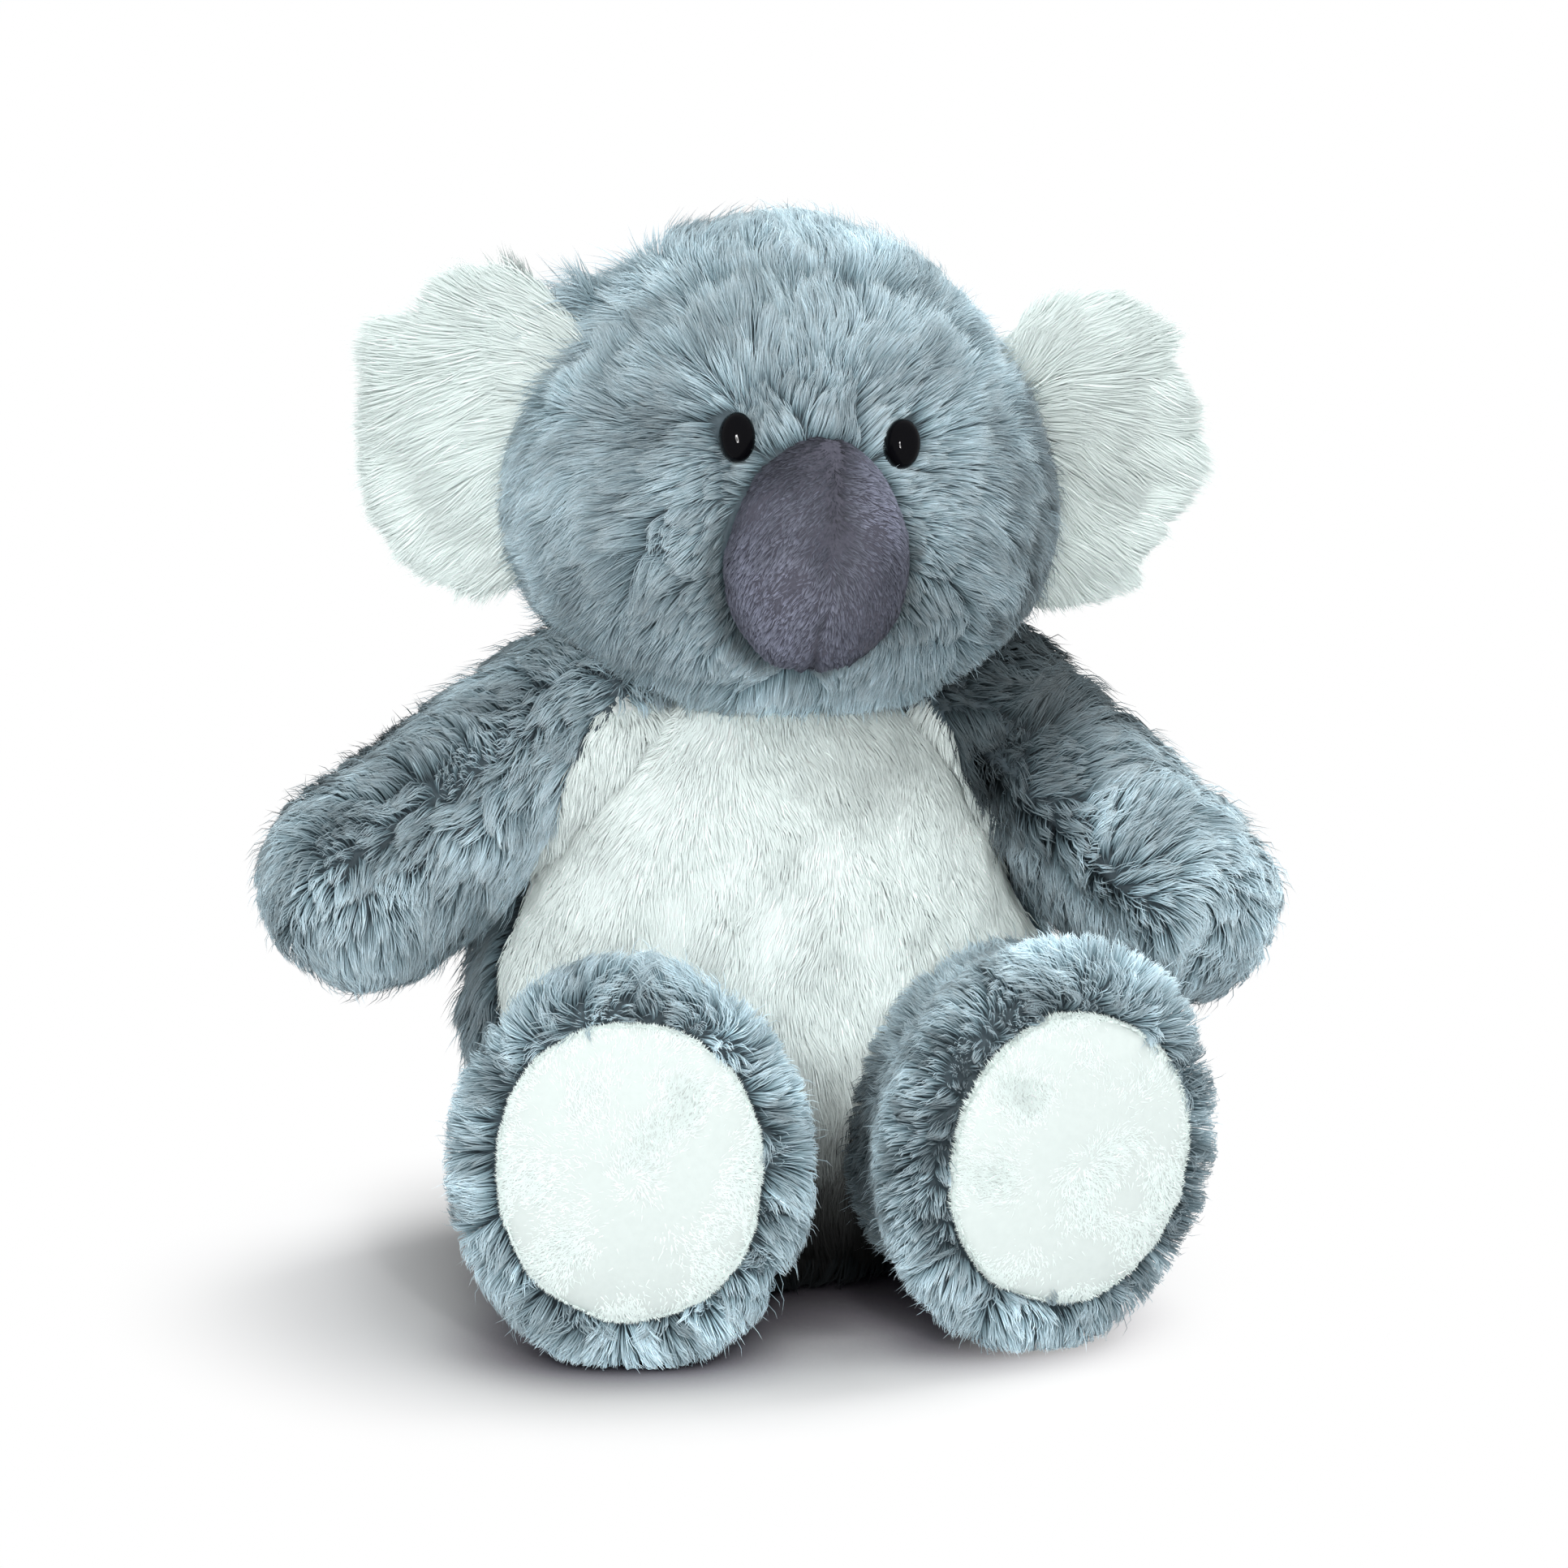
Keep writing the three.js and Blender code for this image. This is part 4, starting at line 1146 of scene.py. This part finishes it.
class Foot:
    """A leg's pile and sole. Places on it are rows of across, up the sole and back from its end."""

    def __init__(self, side):
        self.sign, self.form = SIDES[side], leg_forms[side]
        self.looks, self.fit = FEET[side], SOLE_FITS[side]

    def places(self, points):
        p = self.form.local_mm(points)
        p[:, 2] = self.form.length_mm - p[:, 2]
        return p

    def inner(self, p):
        """1 on the side of the foot that faces the other foot."""
        return smoothstep(4, 26, -p[:, 0] * self.sign)

    def by_sole(self, p):
        """1 at the edge of the sole, where the pile stands up and some of it lies over the sole."""
        return smoothstep(5, 0.5, from_sole(p, *self.fit)) * (p[:, 2] < 18)

    def surface(self):
        surface = Surface(self.form.grid(96), self.form.matrix)
        p = self.places(surface.points)
        beyond = from_sole(p, *self.fit)
        seam = 0.8 * hump(beyond, 0.5, 2.2)
        puckers = 0.5 * np.sin(np.arctan2(p[:, 0], p[:, 1]) * 23) * hump(beyond, 2, 3)
        surface.sunk(PILE_MM + (seam + puckers) * smoothstep(16, 8, p[:, 2]) + self.press(surface.points))
        surface.raised_to(1)
        surface.clear_of(body_form, PILE_MM, self.form.matrix[:3, 2])
        return surface

    def keep(self, root):
        p = self.places(root)
        on_sole = (from_sole(p, *self.fit) < -0.2) & (p[:, 2] < 18)
        return ~on_sole & (body_form.outside_mm(root) > -4) & (root[:, 2] > 1.2 * MM)

    def comb(self, root):
        p = self.places(root)
        front = smoothstep(22, 6, p[:, 2])[:, None]
        turned = 1 - self.by_sole(p) * (0.8 + 0.6 * waves(root, 9, 77))
        sideways = unit(p * (1, 1 / FOOT_HEIGHT_RATIO, 0)) * ((0.15 + 1.1 * front) * turned[:, None])
        return self.form.spin(sideways + np.array((0, 0, -0.9)) * (1 - 0.7 * front))

    def reach(self, root):
        return 10.5 - 2.5 * smoothstep(10, 4, self.places(root)[:, 2])

    def shade(self, root):
        # Painted light on top, low at the front and on the sides; painted shade by the sole, in specks and
        # between the legs
        p = self.places(root)
        x, y, back = p.T
        inner = self.inner(p)
        level = self.looks["level"] + self.looks["top"] * smoothstep(14, 34, y) + self.looks["inner"] * inner
        level += 0.65 * smoothstep(12, 32, -y) * smoothstep(30, 16, back)
        level += self.looks["outer"] * smoothstep(10, 30, x * self.sign)
        painted_shade_by_sole = self.by_sole(p) * (0.22 + 0.16 * waves(root, 8, 78))
        shade_specks = self.looks["shade_specks"] * inner * smoothstep(0.2, 1.3, waves(root, 4.5, 79))
        behind = smoothstep(22, 32, back) * smoothstep(58, 38, root[:, 2] / MM)
        return level * (1 - np.clip(painted_shade_by_sole, 0, 0.5)) * (1 - shade_specks) * (1 - 0.85 * behind * inner)

    def lift(self, root):
        p = self.places(root)
        return 0.35 * self.by_sole(p) + self.looks["lift"] * self.inner(p)

    def share(self, root):
        """Fewer and wider strands behind the foot."""
        return 0.55 + 0.45 * smoothstep(46, 28, self.places(root)[:, 2])

    def press(self, root):
        """How much further than elsewhere the pile is pressed down on the outer side."""
        return self.looks["press_mm"] * smoothstep(8, 26, self.places(root)[:, 0] * self.sign)


def make_leg(side):
    foot, form = Foot(side), leg_forms[side]
    axis, hip = form.matrix[:3, 2], form.matrix[:3, 3]
    bend = ("body", f"{side}_leg", hip + axis * 2 * MM, hip + axis * 24 * MM)
    surface = foot.surface()
    add_skin(f"{side}_leg_skin", surface, GREY_CLOTH,
             replaces=(f"{side}_leg_filling",), bend=bend)
    strands = grow(surface, FOOT_PILE, foot.comb, foot.reach, foot.looks["seed"], foot.keep, foot.shade,
                   form, foot.lift, foot.share, foot.press)
    add_fur(f"{side}_leg_fur", strands, GREY_FUR, None, (f"{side}_leg_cover",),
            form.local_mm(strands.root)[:, 2], bend)

    pad = sole_surface(form, *foot.fit)
    add_skin(f"{side}_sole_pad", pad, SOLE_CLOTH, f"{side}_leg", (f"{side}_sole",))
    nap = grow(pad, SOLE_PILE, lambda root: form.spin(form.local_mm(root) * (1, 1, 0)), steady(2.2),
               foot.looks["seed"] + 20, lambda root: foot.places(root)[:, 2] < 7, lift=steady(-0.08))
    nap.face(axis, 0.85)
    add_fur(f"{side}_sole_pile", nap, WHITE_FUR, f"{side}_leg")


# Ears


def ear_grid(scale):
    """A cupped oval sheet, as a closed grid from the middle of its front to the middle of its back."""
    share = np.sin(np.linspace(0, math.pi / 2, 16))
    bulge = np.sqrt(np.maximum(0, 1 - share ** 2))
    cup = EAR_CUP_MM * (1 - share ** 2)
    front = np.stack([share, cup - 2.4 * bulge], axis=1)
    back = np.stack([share, cup + 1.2 * bulge], axis=1)
    profile = np.vstack([front, back[-2::-1]])
    angle = np.linspace(0, TAU, 72, endpoint=False)
    reach = profile[:, :1] * scale(np.sin(angle), np.cos(angle))
    depth = np.broadcast_to(profile[:, 1:], reach.shape)
    return MM * np.stack(
        [EAR_HALF_MM[0] * reach * np.sin(angle), depth, EAR_HALF_MM[1] * reach * np.cos(angle)], axis=2)


class Ear:
    """An ear. Places on it are shares of its half sizes: out from the head and up."""

    def __init__(self, name):
        self.side, self.looks, self.reaches = SIDES[name], EARS[name], EAR_FRINGE[name]
        self.matrix = HEAD_MATRIX @ turned_about(2, self.side * EAR_TURN, EAR_PLACE_MM * (self.side, 1, 1))
        self.inverse = np.linalg.inv(self.matrix)

    def local_mm(self, points):
        return moved(points, self.inverse) / MM

    def scale(self, across, up):
        """The ear's outline is cut in on its upper outer side."""
        return 0.94 - self.looks["trim"] * np.maximum(0, (across * self.side + up) / math.sqrt(2)) ** 2

    def placed(self, points):
        """How far out and up points are, and their share of the skin's rim."""
        p = self.local_mm(points)
        across, up = p[:, 0] / EAR_HALF_MM[0], p[:, 2] / EAR_HALF_MM[1]
        angle = np.arctan2(across, up)
        return across * self.side, up, np.hypot(across, up) / self.scale(np.sin(angle), np.cos(angle))

    def inner_top(self, points):
        """1 at the top of the left ear's inner side, where its grey back shows over the white."""
        out, up, _ = self.placed(points)
        return smoothstep(0.1, -0.2, out) * smoothstep(0.3, 0.5, up) * self.looks["grey_top"]

    def is_front(self, root):
        """True for the white pile, which also wraps the rim, except where the grey back shows."""
        rim = self.placed(root)[2]
        ahead = self.local_mm(root)[:, 1] < EAR_CUP_MM * (1 - (rim * 0.92) ** 2) + 0.2
        return ahead | ((rim > 0.86) & (self.inner_top(root) < 0.5))

    def fringe(self, out, up):
        """How far the white pile reaches at a place round the ear."""
        return np.interp(np.degrees(np.arctan2(out, up)), *zip(*self.reaches), period=360)

    def comb(self, root):
        away = unit(self.local_mm(root) - (-self.side * 30, 0, 0))
        raised = self.inner_top(root) * ~self.is_front(root)
        return away @ self.matrix[:3, :3].T + (0, 0, -0.12) + raised[:, None] * (0.2, 0, 1.5)

    def reach(self, root):
        out, up, rim = self.placed(root)
        top = self.inner_top(root)
        front = 12.5 - 4.5 * smoothstep(0.6, 1.0, rim) + 5 * smoothstep(1.1, 1.24, self.fringe(out, up))
        return np.where(self.is_front(root), front, 9 - 6 * smoothstep(0.45, 0.85, rim) * (1 - top) + 8 * top)

    def shade(self, root):
        # Painted shade along the notch, in the middle, beside the head, and on the grey back over the left
        # ear's top
        out, up, rim = self.placed(root)
        angle = np.degrees(np.arctan2(out, up))
        notch = 0.08 * hump(angle, self.looks["notch"], 7) * smoothstep(0.1, 0.7, rim)
        middle = self.looks["middle"] * hump(out, 0.1, 0.5) * hump(up, 0.1, 0.4)
        shade_by_head = self.looks["shade_by_head"] * smoothstep(0.1, -0.6, out)
        front = (1 - notch) * (1 - middle) * (1 - shade_by_head)
        return np.where(self.is_front(root), front, 0.8 - 0.25 * self.inner_top(root))

    def keep(self, root):
        return head_form.outside_mm(root) > -4.5

    def share(self, root):
        return np.where(self.is_front(root), 1, 0.6)

    def trim(self, strands, front):
        """Shortens the strands whose tips reach too far, with small lobes along the edge."""
        tip, seed = strands.line[:, -1], self.looks["seed"]
        out, up, _ = self.placed(tip)
        top = self.inner_top(tip)
        angle = np.arctan2(out, up)
        lobes = 0.02 * np.sin(angle * 11 + seed) + 0.02 * np.sin(angle * 23 + 1)
        lobes += 0.035 * np.random.default_rng(seed).normal(size=len(tip))
        limit = np.where(front, self.fringe(out, up) - 0.1 * top, 0.82 + 0.72 * top) + lobes
        over = np.hypot(out, up) / limit
        shrink = np.where(over > 1, np.maximum(0.35, 1 - (over - 1) * 3), 1.0)[:, None, None]
        root = strands.line[:, :1]
        strands.line = root + (strands.line - root) * shrink


def make_ear(name):
    ear = Ear(name)
    surface = Surface(ear_grid(ear.scale), ear.matrix)
    out_way = ear.matrix[:3, 0] * ear.side
    surface.clear_of(head_form, PILE_MM, out_way)
    root_line = moved(np.array((ear.side * EAR_ROOT_SPREAD_MM, *EAR_PLACE_MM[1:])) * MM, HEAD_MATRIX)
    bend = ("head", f"{name}_ear", root_line, root_line + out_way * 16 * MM)
    add_skin(f"{name}_ear_skin", surface, WHITE_CLOTH, bend=bend)

    strands = grow(surface, EAR_PILE, ear.comb, ear.reach, ear.looks["seed"], ear.keep, ear.shade,
                   share=ear.share)
    front = ear.is_front(strands.root)
    ahead = front & (ear.local_mm(strands.root)[:, 1] < EAR_CUP_MM)
    strands.normal[ahead] = unit(strands.normal[ahead] * 0.2 + EAR_FACING * 0.8)
    strands.two_sided = True
    ear.trim(strands, front)
    for part, mask, material, slot in (
        ("front", front, WHITE_FUR, "white_fur"),
        ("back", ~front, GREY_FUR, "grey_fur"),
    ):
        add_fur(f"{name}_ear_{part}_fur", strands.only(mask), material,
                replaces=(f"{name}_ear_{part}",), bend=bend)


# Nose, in its own millimetres, and eyes


def make_nose():
    form = Form(egg_profile(NOSE_HALF_MM, NOSE_TAPER, 72), NOSE_HALF_MM[1] / NOSE_HALF_MM[0],
                HEAD_MATRIX @ turned_about(0, 0, NOSE_CENTRE_MM))
    tuck = np.array((1, -NOSE_HALF_MM[1], 5.5))
    surface = Surface(form.grid(112), form.matrix)
    p = form.local_mm(surface.points)
    seam = 0.9 * hump(p[:, 0], 0, 0.8) * smoothstep(-5, -14, p[:, 2]) * (p[:, 1] < 0)
    surface.sunk(0.6 + 1.5 * patch(p, tuck, 3.2) + seam)
    add_skin("nose_skin", surface, NOSE_CLOTH, "head", ("nose_cover", "nose_filling"))

    def comb(root):
        """Away from the crease over the nose's upper half, then fanning down."""
        x, _, z = (form.local_mm(root) - tuck).T
        fall = np.interp(z, (-20, -8, 2, 14), (1.35, 1.1, 0.45, 0.1))
        right = np.stack([np.cos(fall), np.zeros(len(z)), -np.sin(fall)], axis=1)
        fall = np.interp(z, (-20, 0, 10, 16), (1.3, 1.0, 0.85, 0.4))
        left = np.stack([-np.cos(fall), np.zeros(len(z)), -np.sin(fall)], axis=1)
        share = smoothstep(-1.2, 1.2, x)[:, None]
        return form.spin(left * (1 - share) + right * share)

    def shade(root):
        # Painted shade round the tuck, at the top, on the lower right, along the crease and towards the edge
        q = form.local_mm(root) - tuck
        x, _, z = q.T
        ribs = np.where(x > 0, z + 0.25 * x, 0.8 * x - 0.6 * z)
        level = 0.63 + 0.3 * smoothstep(0.2, 1.2, np.linalg.norm(q / (7, 20, 8), axis=1))
        # Painted highlights on the upper right and the lower left
        level += 0.55 * smoothstep(1, 7, x) * smoothstep(-2, 5, z)
        level += 0.34 * smoothstep(2, -8, x) * smoothstep(2, -8, z)
        level -= 0.25 * smoothstep(1, 8, x) * smoothstep(1, -7, z)
        level -= 0.4 * smoothstep(3, 13, z) * smoothstep(8, -2, x)
        level += 0.15 * np.sin(ribs * TAU / 0.65) + 0.05 * waves(root, 9, 136)
        edge = np.hypot((x + tuck[0]) / NOSE_HALF_MM[0], (z + tuck[2]) / NOSE_HALF_MM[2])
        crease = 0.5 * hump(x, 0, 1.1) * smoothstep(-3, 1, z)
        seam_line = 0.6 * hump(x + tuck[0], 0, 0.45) * smoothstep(-13, -17, z)
        painted_edge_shade = 1 - 0.3 * smoothstep(0.8, 1.0, edge)
        return np.clip(level, 0.35, 1.8) * painted_edge_shade * (1 - crease) * (1 - seam_line)

    nap = grow(surface, NOSE_PILE, comb, steady(1.9), 131, lambda root: form.local_mm(root)[:, 1] < 3, shade)
    add_fur("nose_pile", nap, NOSE_NAP, "head")


def make_eye(name):
    """A glossy button, a little flatter in the middle and looking a little further forward than the face."""
    across_mm = SIDES[name] * EYE_SPREAD_MM
    point = face_point(across_mm, EYE_HEIGHT_MM)
    across = face_point(across_mm + 1, EYE_HEIGHT_MM) - point
    up = face_point(across_mm, EYE_HEIGHT_MM + 1) - point
    outward = unit(np.cross(across, up))
    own = np.eye(4)
    own[:3, :3] = Vector((0, 0, 1)).rotation_difference(Vector(unit(outward + EYE_LOOKS[name]))).to_matrix()
    own[:3, 3] = (point - outward * EYE_SUNK_MM) * MM
    share = np.sin(np.linspace(math.pi / 2, 0, 32))
    dome = np.stack([EYE_HALF_MM[0] * share, EYE_DOME_MM * (1 - share ** 2.8) ** (1 / 2.8)], axis=1)
    profile = np.vstack([((0, -1.2), (1.7, -1.2), (3.1, -1.15), (3.4, -0.8)), dome])
    profile[-1, 0] = 0
    form = Form(profile, EYE_HALF_MM[1] / EYE_HALF_MM[0], HEAD_MATRIX @ own)
    surface = Surface(form.grid(64), form.matrix)
    add_skin(f"{name}_eye_dome", surface, EYE_PLASTIC, "head", (f"{name}_eye",))


# Floor, light and camera

# Painted contact shadow: the floor's colours by the ambient occlusion round the toy's base
FLOOR_CONTACT_SHADOW = (
    (0.04, (0.012, 0.01, 0.016)),
    (0.3, (0.2, 0.185, 0.21)),
    (0.55, (0.46, 0.445, 0.47)),
    (0.8, (0.75, 0.75, 0.75)),
)
FLOOR_FADE_CENTRE = (-0.02, -0.027, 0)
SHADOW_CORE_CENTRE = (-0.045, 0, 0)


def make_floor():
    """Pale, with a soft shadow under the toy that fades to white round it."""
    bpy.ops.mesh.primitive_plane_add(size=8)
    floor = bpy.context.object
    floor.name = "floor"
    material, tree, shader = new_material("pale_floor", 1.0, 0.0)
    tree.set(shader, {"Base Color": (0.6, 0.6, 0.61, 1)})
    nearness = tree.add("AmbientOcclusion", {"Distance": 0.026}, "AO", samples=8)
    place = tree.add("NewGeometry", {}, "Position")
    squeezed = tree.vector("MULTIPLY", tree.vector("SUBTRACT", place, SHADOW_CORE_CENTRE), (1, 0.3, 1))
    radius = tree.add("VectorMath", {0: squeezed}, "Value", operation="LENGTH")
    shadow = tree.scaled(tree.ramp(nearness, FLOOR_CONTACT_SHADOW), tree.eased(radius, 0.01, 0.042, 0.62))
    fade = tree.eased(tree.vector("DISTANCE", place, FLOOR_FADE_CENTRE, "Value"), 0.053, 0.112)
    shown = tree.mix(fade, tree.add("BsdfDiffuse", {"Color": shadow}), tree.add("Emission", {}))
    total = tree.mix(tree.camera_only(), shader.outputs["BSDF"], shown)
    tree.set(tree.nodes["Material Output"], {"Surface": total})
    floor.data.materials.append(material)


def make_world():
    world = bpy.data.worlds.new("studio")
    bpy.context.scene.world = world
    tree = Tree(world)
    place = tree.add("TexCoord", {}, "Generated")
    height = tree.add("SeparateXYZ", {"Vector": place}, "Z")
    lit = tree.nodes["Background"]
    tree.set(lit, {"Color": (0.97, 0.985, 1.0, 1), "Strength": tree.ranged(height, 0.3, 0.85)})
    white = tree.add("Background", {"Color": (1, 1, 1, 1)})
    total = tree.mix(tree.camera_only(), lit.outputs["Background"], white)
    tree.set(tree.nodes["World Output"], {"Surface": total})


def aimed(obj, place, way):
    obj.location = place
    obj.rotation_euler = Vector(way).to_track_quat("-Z", "Y").to_euler()


def add_area_light(name, place, target, size, power, mirrored=False):
    """A soft light; a mirrored one shows only as a highlight."""
    light = bpy.data.lights.new(name, "AREA")
    light.shape = "RECTANGLE"
    light.size, light.size_y = size
    light.energy = power
    obj = linked(name, light)
    aimed(obj, place, np.subtract(target, place))
    obj.visible_glossy = mirrored
    obj.visible_diffuse = not mirrored


def make_camera():
    """The photograph's view: the row frame's origin lies at its own pixel of the picture."""
    forward = np.array((-math.sin(VIEW_AZIMUTH), math.cos(VIEW_AZIMUTH), 0))
    right = np.array((math.cos(VIEW_AZIMUTH), math.sin(VIEW_AZIMUTH), 0))
    look = forward * math.cos(VIEW_ELEVATION) - (0, 0, math.sin(VIEW_ELEVATION))
    up = np.cross(right, look)
    middle = PHOTO_SIDE / 2
    across = (middle - ORIGIN_PIXEL[0]) * METRES_PER_PIXEL
    high = (ORIGIN_PIXEL[1] - middle) * METRES_PER_PIXEL
    data = bpy.data.cameras.new("camera")
    data.sensor_width = SENSOR_WIDTH
    data.lens = SENSOR_WIDTH * VIEW_DISTANCE / (PHOTO_SIDE * METRES_PER_PIXEL)
    data.clip_end = 20
    camera = linked("camera", data)
    aimed(camera, right * across + up * high - look * VIEW_DISTANCE, look)
    bpy.context.scene.camera = camera


make_camera()
make_floor()
make_world()
add_area_light("front_left", (-0.6, -1.7, 0.85), (0, 0, 0.1), (1.5, 1.3), 23.5)
add_area_light("back_right", (1.0, 0.45, 0.95), (0, 0, 0.05), (0.55, 0.55), 17)
add_area_light("fill", (0, -1.39, 0.73), (0, 0, 0.16), (0.08, 0.16), 4.0)
add_area_light("catch", (0, -1.39, 0.73), (0, 0, 0.16), (0.12, 0.25), 28, mirrored=True)
bpy.context.scene.view_settings.view_transform = "Standard"

make_head()
make_body()
for limb_side in SIDES:
    make_arm(limb_side)
    make_leg(limb_side)
for ear_side in SIDES:
    make_ear(ear_side)
make_nose()
for eye_side in SIDES:
    make_eye(eye_side)
    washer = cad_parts[f"{eye_side}_eye_washer"]
    washer.data.materials.clear()
    washer.data.materials.append(WASHER_PLASTIC)
